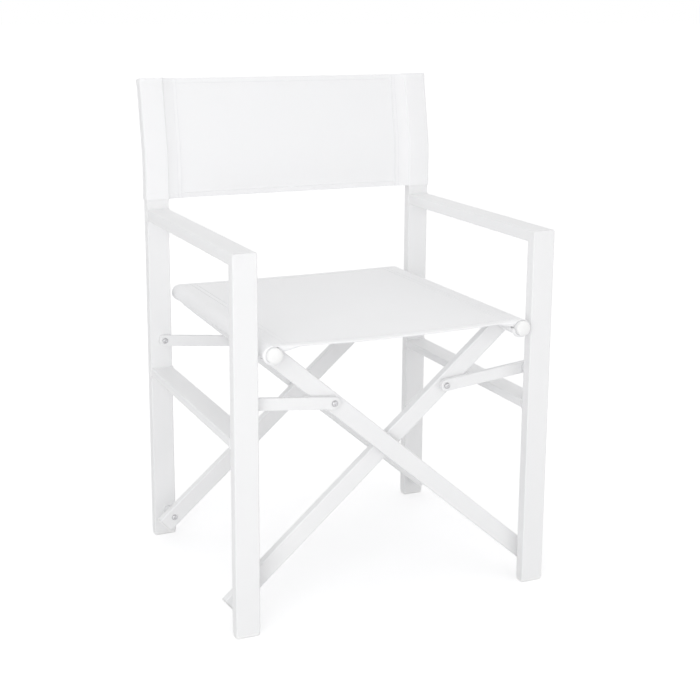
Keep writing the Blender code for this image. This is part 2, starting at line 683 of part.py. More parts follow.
def seat_profile():
    """The seat sling's section: the sagging panel, a sleeve round each tube and a hem under the panel."""
    slope = math.atan2(2 * SEAT_SAG, TUBE_X)
    end_x = TUBE_X - SLEEVE_RADIUS * math.sin(slope)
    end_z = TUBE_HEIGHT + SLEEVE_RADIUS * math.cos(slope)

    def panel(x):
        return end_z - SEAT_SAG * (1 - (x / end_x) ** 2)

    half = [(end_x * step / CLOTH_STEPS, panel(end_x * step / CLOTH_STEPS)) for step in range(CLOTH_STEPS)]
    seam = Vector((TUBE_X - SEAT_SEAM_RUN, panel(TUBE_X - SEAT_SEAM_RUN) - CLOTH - HEM_GAP))
    reach = seam - Vector((TUBE_X, TUBE_HEIGHT))
    leave = math.atan2(reach.y, reach.x) + math.acos(SLEEVE_RADIUS / reach.length) - 2 * math.pi
    start = math.pi / 2 + slope
    for step in range(2 * CLOTH_STEPS + 1):
        angle = start + (leave - start) * step / (2 * CLOTH_STEPS)
        around = Vector((math.cos(angle), math.sin(angle))) * SLEEVE_RADIUS
        half.append((TUBE_X + around.x, TUBE_HEIGHT + around.y))
    half.append(tuple(seam))
    hem_x = seam.x - SEAT_HEM
    half.append((hem_x, panel(hem_x) - CLOTH - HEM_GAP))
    return mirrored(half)


def seat_sling():
    """The seat, notched where the bars reach its tubes."""
    start = FRONT_Y - TUBE_FRONT_OVERHANG + SEAT_FRONT_SET
    length = TUBE_LENGTH - SEAT_FRONT_SET - SEAT_REAR_SET
    place = placement((0.0, start + length, 0.0), (1, 0, 0), (0, -1, 0))
    seat = cloth_sheet(
        "seat_sling",
        seat_profile(),
        lambda bm, edges: push(bm, edges, (0.0, 0.0, length)),
        BARS_A,
        place,
    )
    for bar in BAR_LAYERS:
        for end in ENDS:
            bm = bmesh.new()
            bmesh.ops.create_cube(bm, size=1.0)
            room = 2 * NOTCH_ROOM
            size = (BAR_WIDTH + room, BAR_THICKNESS + room, 2 * SEAT_SEAM_RUN)
            bmesh.ops.scale(bm, verts=bm.verts, vec=size)
            drop = Vector((0.0, 0.0, -SEAT_SEAM_RUN))
            bmesh.ops.translate(bm, verts=bm.verts, vec=drop)
            matrix = bar_frame(bar, end, BAR_TOP - SADDLE_SET + NOTCH_ROOM)
            combine(seat, add_cutter(f"seat_notch_{bar}_{end}", finish_mesh(bm), matrix), "DIFFERENCE")


def back_profile():
    """The back sling's section: the panel, a sleeve round each post and a hem behind the panel."""
    post = rounded_rectangle(
        LEG_WIDTH + 2 * SLEEVE_OFFSET, LEG_DEPTH + 2 * SLEEVE_OFFSET, EDGE_RADIUS + SLEEVE_OFFSET
    )
    corner = CORNER_STEPS + 1
    round_post = post[2 * corner:] + post[:2 * corner]
    panel_y = -(CLOTH + HEM_GAP) / 2
    seam_x = INNER_X - BACK_SEAM_RUN
    half = [(0.0, panel_y), (seam_x - BACK_HEM, panel_y), (seam_x, panel_y)]
    half += [(LEG_X + x, y) for x, y in round_post]
    half += [(seam_x, -panel_y), (seam_x - BACK_HEM, -panel_y)]
    return mirrored(half)


def back_sling():
    """The back, open at the top of its sleeves."""
    place = Matrix.Translation((0.0, POST_Y, BACK_BOTTOM))
    cloth_sheet(
        "back_sling",
        back_profile(),
        lambda bm, edges: sweep_up_post(bm, edges, BACK_BOTTOM, TOP_LENGTH + BACK_RISE),
        LEFT_FRAME,
        place,
    )


def side_frame(side):
    """One side of the chair."""
    front_leg(side)
    rear_post(side)
    armrest(side)
    side_rail(side)
    feet(side)
    post_cap(side)


def main():
    """Build the chair."""
    for side in SIDES:
        side_frame(side)
    for bar in BAR_LAYERS:
        seat_tube(bar)
        for end in ENDS:
            crossbar(bar, end)
    for end in ENDS:
        centre_pivot(end)
        for side in SIDES:
            link(side, end)
            link_bush(side, end)
            leg_hardware(side, end)
    seat_sling()
    back_sling()


main()
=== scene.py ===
"""Looks of a folding director's chair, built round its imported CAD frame.

Tubes, bolts and feet are rebuilt with round edges, and the two slings as sewn cloth.
Lengths are in metres, in the frame's own axes: the sitter faces -Y and Z is up.
"""

import json
import math

import bmesh
import bpy
from mathutils import Matrix, Vector


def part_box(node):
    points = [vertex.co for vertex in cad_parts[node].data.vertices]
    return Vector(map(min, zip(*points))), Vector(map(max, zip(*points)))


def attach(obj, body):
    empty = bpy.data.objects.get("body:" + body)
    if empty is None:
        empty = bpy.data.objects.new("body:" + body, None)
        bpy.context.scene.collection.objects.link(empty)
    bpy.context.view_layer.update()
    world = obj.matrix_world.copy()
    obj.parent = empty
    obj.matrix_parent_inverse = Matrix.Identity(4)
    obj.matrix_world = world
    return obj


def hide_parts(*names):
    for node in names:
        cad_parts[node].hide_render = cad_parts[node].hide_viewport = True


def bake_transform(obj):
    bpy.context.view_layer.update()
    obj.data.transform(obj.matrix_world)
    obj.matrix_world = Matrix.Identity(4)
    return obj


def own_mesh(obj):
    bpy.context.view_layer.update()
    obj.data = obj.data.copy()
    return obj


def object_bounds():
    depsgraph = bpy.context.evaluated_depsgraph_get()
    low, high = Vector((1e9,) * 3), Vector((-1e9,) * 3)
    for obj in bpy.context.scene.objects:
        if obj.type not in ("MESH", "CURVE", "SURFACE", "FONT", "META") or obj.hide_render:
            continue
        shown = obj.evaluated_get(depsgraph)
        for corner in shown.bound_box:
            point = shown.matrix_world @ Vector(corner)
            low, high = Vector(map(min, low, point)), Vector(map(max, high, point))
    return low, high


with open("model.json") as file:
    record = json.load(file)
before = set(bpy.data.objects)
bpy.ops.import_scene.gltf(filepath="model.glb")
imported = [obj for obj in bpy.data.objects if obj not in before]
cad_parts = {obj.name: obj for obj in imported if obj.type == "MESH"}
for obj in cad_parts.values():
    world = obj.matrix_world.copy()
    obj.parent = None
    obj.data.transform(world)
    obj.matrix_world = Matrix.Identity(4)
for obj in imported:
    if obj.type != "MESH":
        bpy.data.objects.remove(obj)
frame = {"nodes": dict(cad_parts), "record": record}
cad_low, cad_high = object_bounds()

SIDES = {"left": -1, "right": 1}
ENDS = {"front": 1, "rear": -1}
SIDE_BODY = {"left": "left_frame", "right": "right_frame"}
LINK_BODY = {"left": "left_links", "right": "right_links"}
BAR_BODY = {"a": "x_bars_a", "b": "x_bars_b"}
BAR_TUBE = {"a": "left", "b": "right"}

# The record's material slots
COAT = "white_powder_coat"
PLASTIC = "white_plastic"
NYLON = "grey_nylon"
STEEL = "stainless_steel"
SLING = "white_sling_mesh"

# Round edges of the metal and plastic pieces
TUBE_EDGE = 0.0022
EDGE_STEPS = 5
EASE = 0.0005
EASE_STEPS = 2
EASE_ANGLE = math.radians(32)
SHARP_ANGLE = math.radians(50)
ROUND_SIDES = 48

# The bent rear posts
BEND_HEIGHT = 0.690
BEND_RADIUS = 0.205
BEND_STEPS = 14
POST_LEAN = math.radians(11)
POST_HEIGHT = 0.840

# Crossed bars, links and bolts
BAR_WIDTH = 0.030
BAR_TAIL = 0.022
BAR_SPLITS = 12
SADDLE_WIDTH = 0.018
LINK_WIDTH = 0.020
LINK_STEPS = 16
LINK_EASE = 0.0009
LINK_EASE_STEPS = 3
HEAD_RADIUS = 0.00525
HEAD_HEIGHT = 0.0033
HEAD_FLAT = 0.0030
HEAD_STEPS = 8
SHANK_RADIUS = 0.003
HEX_RADIUS = 0.0023
HEX_DEPTH = 0.0021
HEX_SIDES = 24
HEX_FLARE = 1.06
HEX_FLARE_DEPTH = 0.0002

# Feet, tube caps and welds
FOOT_ROUND = 0.0026
FOOT_STEPS = 5
FOOT_EASE = 0.0003
CAP_RIM = 0.0008
CAP_STEPS = 10
TUBE_WALL = 0.0015
STEM_INSET = 1.5 * TUBE_WALL
ROD_EASE = 0.0004
WELD_SIZE = 0.0017
WELD_RIPPLE = 0.14
WELD_PITCH = 0.0024
WELD_STEP = 0.0006
WELD_SINK = 0.0004
WELD_BELLY = 0.5676

# Cloth
CLOTH = 0.0012
CLOTH_GAP = 0.0003
LAP_GAP = 0.0001
HEM_EXTRA = 0.0005
HEM_EASE = 0.0016
EDGE_SHARE = 0.15
EDGE_ROWS = (0.0, 0.0002, 0.0006, 0.0012, 0.0020, 0.0030, 0.0042, 0.0054, 0.0066, 0.0078, 0.0090)
CLOTH_SHARP_ANGLE = math.radians(60)
ROW_STEP = 0.011

# Seat sling
SEAT_SAG = 0.0015
SEAT_FRONT_SET = 0.005
SEAT_REAR_SET = 0.004
SEAT_SEAM_RUN = 0.018
SEAT_LAP = 0.012
SEAM_SHARES = (0.25, 0.5, 0.75, 1.0)
LAP_SHARES = (0.33, 0.67, 1.0)
SEAT_HEM = 0.013
ROLL_ABOVE = 0.0006
ROLL_BELOW = 0.0028
ROLL_MOUTH = 0.0112
ROLL_RUN = 0.009
ROLL_REACH = 0.050
ROLL_ROUND = 0.0032
ROLL_HEM = 0.0075
ROLL_EASE = 0.0045
LAP_CELLS = 6
DROOP = 0.0042
DROOP_RUN = 0.11
SEAT_STEPS = 30
SLEEVE_STEPS = 44
NOTCH_ROOM = 0.0015

# Back sling
BACK_BOTTOM = 0.632
BACK_RISE = 0.003
BACK_SEAM_RUN = 0.018
BACK_LAP = 0.010
BACK_HEM = 0.012
BACK_TONGUE = 0.012
BACK_STEPS = 40

# Stitches and weave
STITCH_LENGTH = 0.0028
STITCH_PITCH = 0.0036
STITCH_RADIUS = 0.00036
STITCH_SIDES = 6
STITCH_INSET = 0.0018
STITCH_SHOULDER = 0.55
STITCH_RISE = 0.6
STITCH_END_RISE = 0.35
SEAT_SEAM_INSET = 0.0015
SEAT_HEM_ENDS = 0.004
BACK_SEAM_INSET = 0.0018
BACK_HEM_INSET = 0.003
PUCKER = 0.00016
PUCKER_PITCH = 0.0108
PUCKER_REACH = 0.010
WAVE = 0.00030
WAVE_LENGTHS = ((0.170, 0.110), (-0.120, 0.230), (0.310, -0.075))
WEAVE_UV = "weave"
YARN_PITCH = 0.0011
YARN_SWING = 0.32
YARN_ROUND = 0.6

# The photograph's camera
CAMERA_PLACE = (-0.9121, -2.0436, 0.9835)
CAMERA_AZIMUTH = math.radians(24.52)
CAMERA_PITCH = math.radians(12.03)
CAMERA_ROLL = math.radians(0.40)
FOCAL_PIXELS = 1320
FRAME_PIXELS = 700
SENSOR = 36.0
SHIFT_PIXELS = -70
CLIP = (0.05, 200.0)


def node_box(name):
    """A CAD node's lowest corner, highest corner and middle."""
    low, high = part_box(name)
    return low, high, (low + high) / 2


LEG_LOW, LEG_HIGH, _ = node_box("front_leg_right")
ARM_LOW, ARM_HIGH, _ = node_box("armrest_right")
RAIL_LOW, RAIL_HIGH, _ = node_box("side_rail_right")
INNER_X = LEG_LOW.x
OUTER_X = LEG_HIGH.x
LEG_X = (INNER_X + OUTER_X) / 2
LEG_WIDTH = OUTER_X - INNER_X
LEG_DEPTH = LEG_HIGH.y - LEG_LOW.y
FRONT_Y = LEG_LOW.y
REAR_Y = node_box("rear_foot_right")[1].y
POST_Y = REAR_Y - LEG_DEPTH / 2
LEG_FOOT = LEG_LOW.z
ARM_TOP = ARM_HIGH.z
ARM_THICK = ARM_HIGH.z - ARM_LOW.z
RAIL_TOP = RAIL_HIGH.z
RAIL_THICK = RAIL_HIGH.z - RAIL_LOW.z


# Materials
WHITE = (1.0, 1.0, 1.0, 1.0)
COAT_TONES = ((0.885, 0.887, 0.893), (0.915, 0.916, 0.919))
COAT_PEEL = 0.7
PLASTIC_TONES = ((0.925, 0.925, 0.92), (0.95, 0.95, 0.947))
NYLON_TONES = ((0.76, 0.77, 0.78), (0.83, 0.835, 0.84))
STEEL_TONES = ((0.52, 0.52, 0.53), (0.68, 0.68, 0.69))
SLING_TONES = ((0.950, 0.951, 0.960), (0.968, 0.968, 0.974))
# Painted shade in the gaps between the weave's yarns
PORE_SHADE_TONE = (0.87, 0.873, 0.885)
THREAD_TONES = ((0.80, 0.80, 0.83), (0.92, 0.92, 0.93))
MIX_FIRST = 6
MIX_SECOND = 7
MIX_RESULT = 2


class Tree:
    """Short ways to add nodes to a material or a world."""

    def __init__(self, owner):
        owner.use_nodes = True
        self.owner = owner
        self.nodes = owner.node_tree.nodes
        self.links = owner.node_tree.links
        self.shader = self.nodes.get("Principled BSDF") or self.nodes["Background"]

    def add(self, kind, output, **inputs):
        """A node of this kind with these inputs, and one of its outputs."""
        node = self.nodes.new(kind)
        for key, value in inputs.items():
            self.set(node.inputs[key.replace("_", " ")], value)
        return node.outputs[output]

    def set(self, socket, value):
        """Link or set a socket."""
        if isinstance(value, bpy.types.NodeSocket):
            self.links.new(value, socket)
        else:
            socket.default_value = value

    def math(self, operation, *values):
        """A Math node."""
        node = self.nodes.new("ShaderNodeMath")
        node.operation = operation
        for socket, value in zip(node.inputs, values):
            self.set(socket, value)
        return node.outputs[0]

    def span(self, value, low, high, start=0.0, end=1.0):
        """A value that runs from start to end, stretched from low to high."""
        given = {"From_Min": start, "From_Max": end, "To_Min": low, "To_Max": high}
        return self.add("ShaderNodeMapRange", "Result", Value=value, **given)

    def noise(self, place, scale, detail):
        """Plain noise from 0 to 1."""
        return self.add("ShaderNodeTexNoise", "Fac", Vector=place, Scale=scale, Detail=detail)

    def blend(self, share, first, second):
        """A colour between two colours. Each is a tone or a node's output."""
        node = self.nodes.new("ShaderNodeMix")
        node.data_type = "RGBA"
        self.set(node.inputs["Factor"], share)
        for index, colour in ((MIX_FIRST, first), (MIX_SECOND, second)):
            linked = isinstance(colour, bpy.types.NodeSocket)
            self.set(node.inputs[index], colour if linked else (*colour, 1.0))
        return node.outputs[MIX_RESULT]

    def bump(self, height, distance, strength):
        """Surface relief."""
        return self.add("ShaderNodeBump", "Normal", Height=height, Distance=distance, Strength=strength)

    def object_place(self):
        """Places in the frame's axes."""
        return self.add("ShaderNodeTexCoord", "Object")

    def lit_or_seen(self, lit, seen):
        """A strength that is lit for the light it gives and seen for what the viewer and gloss see."""
        rays = self.nodes.new("ShaderNodeLightPath")
        total = rays.outputs["Is Camera Ray"]
        for name in ("Is Glossy Ray", "Is Transmission Ray"):
            total = self.math("MAXIMUM", total, rays.outputs[name])
        return self.span(total, lit, seen)

    def dress(self, **inputs):
        """Set or link the shader's sockets."""
        for key, value in inputs.items():
            self.set(self.shader.inputs[key.replace("_", " ")], value)
        return self.owner


def coated_metal():
    """Satin white powder coat: an even colour with a fine orange-peel surface."""
    tree = Tree(bpy.data.materials.new(COAT))
    place = tree.object_place()
    cloudy = tree.noise(place, scale=9.0, detail=3.0)
    grain = tree.noise(place, scale=900.0, detail=2.0)
    peel = tree.noise(place, scale=420.0, detail=1.5)
    fine = tree.math("MULTIPLY", grain, 1 - COAT_PEEL)
    relief = tree.math("MULTIPLY_ADD", peel, COAT_PEEL, fine)
    return tree.dress(
        Base_Color=tree.blend(cloudy, *COAT_TONES),
        Roughness=tree.span(grain, low=0.36, high=0.50),
        Normal=tree.bump(relief, distance=0.00010, strength=0.14),
        Specular_IOR_Level=0.3,
    )


def moulded_plastic():
    """White polythene: a spark-eroded grain, a little cloudier than the coat."""
    tree = Tree(bpy.data.materials.new(PLASTIC))
    place = tree.object_place()
    cloudy = tree.noise(place, scale=60.0, detail=3.0)
    grain = tree.noise(place, scale=1500.0, detail=2.0)
    return tree.dress(
        Base_Color=tree.blend(cloudy, *PLASTIC_TONES),
        Roughness=tree.span(grain, low=0.42, high=0.58),
        Normal=tree.bump(grain, distance=0.00008, strength=0.25),
        Specular_IOR_Level=0.4,
    )


def turned_nylon():
    """Grey nylon with fine turning marks."""
    tree = Tree(bpy.data.materials.new(NYLON))
    place = tree.object_place()
    cloudy = tree.noise(place, scale=90.0, detail=3.0)
    marks = tree.add("ShaderNodeTexWave", "Fac", Vector=place, Scale=900.0, Distortion=1.5)
    return tree.dress(
        Base_Color=tree.blend(cloudy, *NYLON_TONES),
        Roughness=tree.span(cloudy, low=0.45, high=0.6),
        Normal=tree.bump(marks, distance=0.00004, strength=0.2),
    )


def bolt_steel():
    """Plain stainless steel with handling marks."""
    tree = Tree(bpy.data.materials.new(STEEL))
    place = tree.object_place()
    cloudy = tree.noise(place, scale=260.0, detail=4.0)
    scuffs = tree.noise(place, scale=1700.0, detail=3.0)
    return tree.dress(
        Base_Color=tree.blend(cloudy, *STEEL_TONES),
        Roughness=tree.span(scuffs, low=0.24, high=0.46),
        Normal=tree.bump(scuffs, distance=0.00003, strength=0.25),
        Metallic=1.0,
    )


def weave_height(tree):
    """Height of a plain weave of round yarns, from the cloth's own lengths."""
    place = tree.add("ShaderNodeUVMap", "UV")
    place.node.uv_map = WEAVE_UV
    parts = tree.nodes.new("ShaderNodeSeparateXYZ")
    tree.links.new(place, parts.inputs[0])
    across = tree.math("DIVIDE", parts.outputs["X"], YARN_PITCH)
    along = tree.math("DIVIDE", parts.outputs["Y"], YARN_PITCH)
    warp = yarn(tree, across, along, 1.0)
    weft = yarn(tree, along, across, -1.0)
    return tree.math("MAXIMUM", warp, weft), place


def yarn(tree, across, along, phase):
    """One set of yarns: round across, and over and under the other set along."""
    count = tree.math("FLOOR", across)
    crown = tree.math("SINE", tree.math("MULTIPLY", tree.math("FRACT", across), math.pi))
    swing = tree.math("SINE", tree.math("MULTIPLY", tree.math("ADD", along, count), math.pi))
    lift = tree.math("MULTIPLY_ADD", swing, YARN_SWING * phase, 1 - YARN_SWING)
    return tree.math("MULTIPLY", tree.math("POWER", crown, YARN_ROUND), lift)


def sling_cloth():
    """Woven coated yarn: a white plain weave with painted shade in the gaps between its yarns, a soft sheen
    and slow shade changes.
    """
    tree = Tree(bpy.data.materials.new(SLING))
    height, place = weave_height(tree)
    # Painted shade: where the weave is low, between the yarns, its colour darkens
    pore_shade = tree.span(height, low=0.0, high=1.0, start=0.32, end=0.62)
    slow = tree.noise(place, scale=14.0, detail=3.0)
    slub = tree.noise(place, scale=700.0, detail=2.0)
    return tree.dress(
        Base_Color=tree.blend(pore_shade, PORE_SHADE_TONE, tree.blend(slow, *SLING_TONES)),
        Roughness=tree.span(slub, low=0.52, high=0.68),
        Normal=tree.bump(height, distance=0.00022, strength=0.55),
        Sheen_Weight=0.12,
        Sheen_Roughness=0.45,
        Specular_IOR_Level=0.3,
    )


def sewing_thread():
    """White twisted thread."""
    tree = Tree(bpy.data.materials.new("white_thread"))
    place = tree.object_place()
    twist = tree.add("ShaderNodeTexWave", "Fac", Vector=place, Scale=700.0, Distortion=2.0)
    return tree.dress(
        Base_Color=tree.blend(twist, *THREAD_TONES),
        Roughness=tree.span(twist, low=0.5, high=0.7),
        Normal=tree.bump(twist, distance=0.00005, strength=0.4),
        Sheen_Weight=0.1,
    )


SLOT_MATERIAL = {
    COAT: coated_metal(),
    PLASTIC: moulded_plastic(),
    NYLON: turned_nylon(),
    STEEL: bolt_steel(),
    SLING: sling_cloth(),
}
THREAD = sewing_thread()


# Mesh helpers
def placement(origin, x_axis, z_axis):
    """A matrix that puts a local frame at origin, with its X and Z along these directions."""
    z_axis = Vector(z_axis).normalized()
    x_axis = Vector(x_axis).normalized()
    y_axis = z_axis.cross(x_axis)
    matrix = Matrix((x_axis, y_axis, z_axis)).transposed().to_4x4()
    matrix.translation = Vector(origin)
    return matrix


def outline(width, depth, radius, splits=1):
    """Points round a rectangle with round corners. Its long sides are split for shaping."""
    points = []
    for corner in range(4):
        side_x = 1 if corner in (0, 3) else -1
        side_y = 1 if corner in (0, 1) else -1
        middle = Vector((side_x * (width / 2 - radius), side_y * (depth / 2 - radius)))
        for step in range(EDGE_STEPS + 1):
            turn = (corner + step / EDGE_STEPS) * math.pi / 2
            points.append(middle + radius * Vector((math.cos(turn), math.sin(turn))))
        if corner in (0, 2):
            for split in range(1, splits):
                share = 1 - 2 * split / splits
                points.append(Vector((middle.x * share, side_y * depth / 2)))
    return points


def circle(radius, height, sides=ROUND_SIDES):
    """A ring of points at this height."""
    turns = [2 * math.pi * index / sides for index in range(sides)]
    return [Vector((radius * math.cos(turn), radius * math.sin(turn), height)) for turn in turns]


def loft(rings, looped=False):
    """A skin over rings of points. It is closed at both ends, or joined end to end if looped."""
    bm = bmesh.new()
    rows = [[bm.verts.new(point) for point in ring] for ring in rings]
    pairs = list(zip(rows, rows[1:]))
    if looped:
        pairs.append((rows[-1], rows[0]))
    for first, second in pairs:
        for index in range(len(first)):
            after = (index + 1) % len(first)
            bm.faces.new((first[index], first[after], second[after], second[index]))
    if not looped:
        bm.faces.new(list(reversed(rows[0])))
        bm.faces.new(rows[-1])
    return bm


def settle(item):
    """Put an object's modifiers into its mesh."""
    graph = bpy.context.evaluated_depsgraph_get()
    mesh = bpy.data.meshes.new_from_object(item.evaluated_get(graph))
    item.modifiers.clear()
    item.data = mesh


def smooth_object(name, bm, material):
    """A smooth-shaded object from a bmesh."""
    bmesh.ops.recalc_face_normals(bm, faces=bm.faces)
    mesh = bpy.data.meshes.new(name)
    bm.to_mesh(mesh)
    bm.free()
    mesh.materials.append(material)
    mesh.shade_smooth()
    item = bpy.data.objects.new(name, mesh)
    bpy.context.scene.collection.objects.link(item)
    return item


def eased_object(name, bm, material, matrix, ease, ease_steps):
    """An object from a bmesh, with eased edges and even shading."""
    if matrix is not None:
        bmesh.ops.transform(bm, matrix=matrix, verts=bm.verts)
    item = smooth_object(name, bm, material)
    if ease:
        bevel = item.modifiers.new("ease", "BEVEL")
        bevel.width = ease
        bevel.segments = ease_steps
        bevel.limit_method = "ANGLE"
        bevel.angle_limit = EASE_ANGLE
        settle(item)
    item.data.set_sharp_from_angle(angle=SHARP_ANGLE)
    normals = item.modifiers.new("normals", "WEIGHTED_NORMAL")
    normals.keep_sharp = True
    settle(item)
    return item


def stand_for(item, body, slot, *nodes):
    """Let a piece move with its body and replace its CAD nodes. Its slot is not used."""
    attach(item, body)
    if nodes:
        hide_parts(*nodes)


def piece(name, rings, slot, body, *nodes, matrix=None, ease=EASE, ease_steps=EASE_STEPS, looped=False):
    """A piece lofted over rings, in its slot's finish."""
    item = eased_object(name, loft(rings, looped), SLOT_MATERIAL[slot], matrix, ease, ease_steps)
    stand_for(item, body, slot, *nodes)


# Side frames
def front_leg(side):
    """A front leg, mitred where the armrest meets it."""
    ring = outline(LEG_WIDTH, LEG_DEPTH, TUBE_EDGE)
    middle = Vector((SIDES[side] * LEG_X, FRONT_Y + LEG_DEPTH / 2))
    fall = ARM_THICK / LEG_DEPTH
    low = [Vector((*(middle + p), LEG_FOOT)) for p in ring]
    top = [Vector((*(middle + p), ARM_TOP - (p.y + LEG_DEPTH / 2) * fall)) for p in ring]
    piece(f"leg_tube_front_{side}", [low, top], COAT, SIDE_BODY[side], f"front_leg_{side}")


def armrest(side):
    """An armrest from the front leg's mitre to the rear post."""
    ring = outline(LEG_WIDTH, ARM_THICK, TUBE_EDGE)
    middle = Vector((SIDES[side] * LEG_X, ARM_TOP - ARM_THICK / 2))
    run = LEG_DEPTH / ARM_THICK
    front = [
        Vector((middle.x + p.x, FRONT_Y + (ARM_THICK / 2 - p.y) * run, middle.y + p.y)) for p in ring
    ]
    rear = [Vector((middle.x + p.x, REAR_Y - LEG_DEPTH, middle.y + p.y)) for p in ring]
    piece(f"arm_tube_{side}", [front, rear], COAT, SIDE_BODY[side], f"armrest_{side}")


def side_rail(side):
    """The low rail between two legs."""
    ring = outline(LEG_WIDTH, RAIL_THICK, TUBE_EDGE)
    middle = Vector((SIDES[side] * LEG_X, RAIL_TOP - RAIL_THICK / 2))
    ends = (FRONT_Y + LEG_DEPTH, REAR_Y - LEG_DEPTH)
    rings = [[Vector((middle.x + p.x, y, middle.y + p.y)) for p in ring] for y in ends]
    piece(f"rail_tube_{side}", rings, COAT, SIDE_BODY[side], f"side_rail_{side}")


def post_place(rise):
    """A place on a post's centreline: its Y and Z at this length above z = 0, and its lean there."""
    if rise <= BEND_HEIGHT:
        return POST_Y, rise, 0.0
    lean = min((rise - BEND_HEIGHT) / BEND_RADIUS, POST_LEAN)
    beyond = rise - BEND_HEIGHT - lean * BEND_RADIUS
    y = POST_Y + BEND_RADIUS * (1 - math.cos(lean)) + beyond * math.sin(lean)
    z = BEND_HEIGHT + BEND_RADIUS * math.sin(lean) + beyond * math.cos(lean)
    return y, z, lean


BEND_LENGTH = BEND_RADIUS * POST_LEAN
BEND_TOP = BEND_HEIGHT + BEND_RADIUS * math.sin(POST_LEAN)
POST_TOP_RISE = BEND_HEIGHT + BEND_LENGTH + (POST_HEIGHT - BEND_TOP) / math.cos(POST_LEAN)


def on_post(x, depth, rise):
    """A point beside a post's centreline: depth runs back, square to the post."""
    y, z, lean = post_place(rise)
    return Vector((x, y + depth * math.cos(lean), z - depth * math.sin(lean)))


def rear_post(side):
    """A rear leg that goes on up as the back's post."""
    ring = outline(LEG_WIDTH, LEG_DEPTH, TUBE_EDGE)
    rises = [LEG_FOOT] + [BEND_HEIGHT + BEND_LENGTH * step / BEND_STEPS for step in range(BEND_STEPS + 1)]
    rises.append(POST_TOP_RISE)
    middle = SIDES[side] * LEG_X
    rings = [[on_post(middle + p.x, p.y, rise) for p in ring] for rise in rises]
    piece(f"post_tube_{side}", rings, COAT, SIDE_BODY[side], f"rear_post_{side}")


def foot(side, end):
    """A plastic foot with a round lower edge."""
    name = f"{end}_foot_{side}"
    low, high, _ = node_box(name)
    middle = Vector((SIDES[side] * LEG_X, FRONT_Y + LEG_DEPTH / 2 if end == "front" else POST_Y))
    rings = []

    def level(ring, height):
        rings.append([Vector((*(middle + p), height)) for p in ring])

    corner = TUBE_EDGE + FOOT_ROUND
    for step in range(FOOT_STEPS + 1):
        turn = math.pi / 2 * step / FOOT_STEPS
        inset = FOOT_ROUND * (1 - math.sin(turn))
        ring = outline(LEG_WIDTH - 2 * inset, LEG_DEPTH - 2 * inset, corner - inset)
        level(ring, low.z + FOOT_ROUND * (1 - math.cos(turn)))
    level(outline(LEG_WIDTH, LEG_DEPTH, corner), LEG_FOOT)
    stem = outline(LEG_WIDTH - 2 * STEM_INSET, LEG_DEPTH - 2 * STEM_INSET, TUBE_EDGE)
    level(stem, LEG_FOOT)
    level(stem, high.z)
    piece(f"foot_plug_{end}_{side}", rings, PLASTIC, SIDE_BODY[side], name, ease=FOOT_EASE)


def spaced_path(points, step):
    """Points along a closed path at about this step, each with its outward direction."""
    path = []
    for point, after in zip(points, points[1:] + points[:1]):
        way = after - point
        count = max(1, round(way.length / step))
        out = Vector((way.y, -way.x)).normalized()
        for index in range(count):
            path.append((point + way * index / count, out))
    return path


def weld(name, body, width, depth, matrix):
    """A rippled bead round a tube that stands on a plane at its local z = 0."""
    path = spaced_path(outline(width, depth, TUBE_EDGE), WELD_STEP)
    up = Vector((0.0, 0.0, 1.0))
    rings = []
    for index, (point, out) in enumerate(path):
        before, ahead = path[index - 1][1], path[(index + 1) % len(path)][1]
        out = (before + out + ahead).normalized()
        run = (index + 1) * WELD_STEP
        size = WELD_SIZE * (1 + WELD_RIPPLE * math.sin(2 * math.pi * run / WELD_PITCH))
        flank = Vector((*out, 0.0))
        base = Vector((*point, 0.0))
        ring = [
            base - (flank + up) * WELD_SINK,
            base + flank * size - up * WELD_SINK,
            base + (flank + up) * size * WELD_BELLY,
            base + up * size - flank * WELD_SINK,
        ]
        rings.append(ring)
    piece(name, rings, COAT, body, matrix=matrix, ease=0, looped=True)


def side_welds(side):
    """The beads where an armrest and a rail meet their legs."""
    x = SIDES[side] * LEG_X
    front, rear = FRONT_Y + LEG_DEPTH, REAR_Y - LEG_DEPTH
    rail_z = RAIL_TOP - RAIL_THICK / 2
    beads = (
        ("weld_arm", rear, ARM_TOP - ARM_THICK / 2, ARM_THICK, -1),
        ("weld_rail_rear", rear, rail_z, RAIL_THICK, -1),
        ("weld_rail_front", front, rail_z, RAIL_THICK, 1),
    )
    for name, y, z, thick, out in beads:
        matrix = placement((x, y, z), (1, 0, 0), (0, out, 0))
        weld(f"{name}_{side}", SIDE_BODY[side], LEG_WIDTH, thick, matrix)


# Crossed bars, tubes, links and bolts
def pivot(name):
    """The middle of a bolt, on its axis."""
    return node_box(name)[2]


TUBE_LOW, TUBE_HIGH, TUBE_MIDDLE = node_box("seat_tube_right")
TUBE_RADIUS = (TUBE_HIGH.x - TUBE_LOW.x) / 2
TUBE_X = TUBE_MIDDLE.x
TUBE_Z = TUBE_MIDDLE.z
CENTRE = pivot("centre_bolt_front")
SADDLE_SET = math.sqrt(TUBE_RADIUS**2 - (SADDLE_WIDTH / 2) ** 2)
BAR_REACH = math.hypot(TUBE_X, TUBE_Z - CENTRE.z)


def bar_frame(bar, y):
    """A frame on a bar's centreline at the centre pivot, with Z up the bar and X across it."""
    tube = SIDES[BAR_TUBE[bar]] * TUBE_X
    up = Vector((tube, 0.0, TUBE_Z - CENTRE.z)).normalized()
    across = Vector((0.0, 1.0, 0.0)).cross(up)
    return placement((0.0, y, CENTRE.z), across, up)


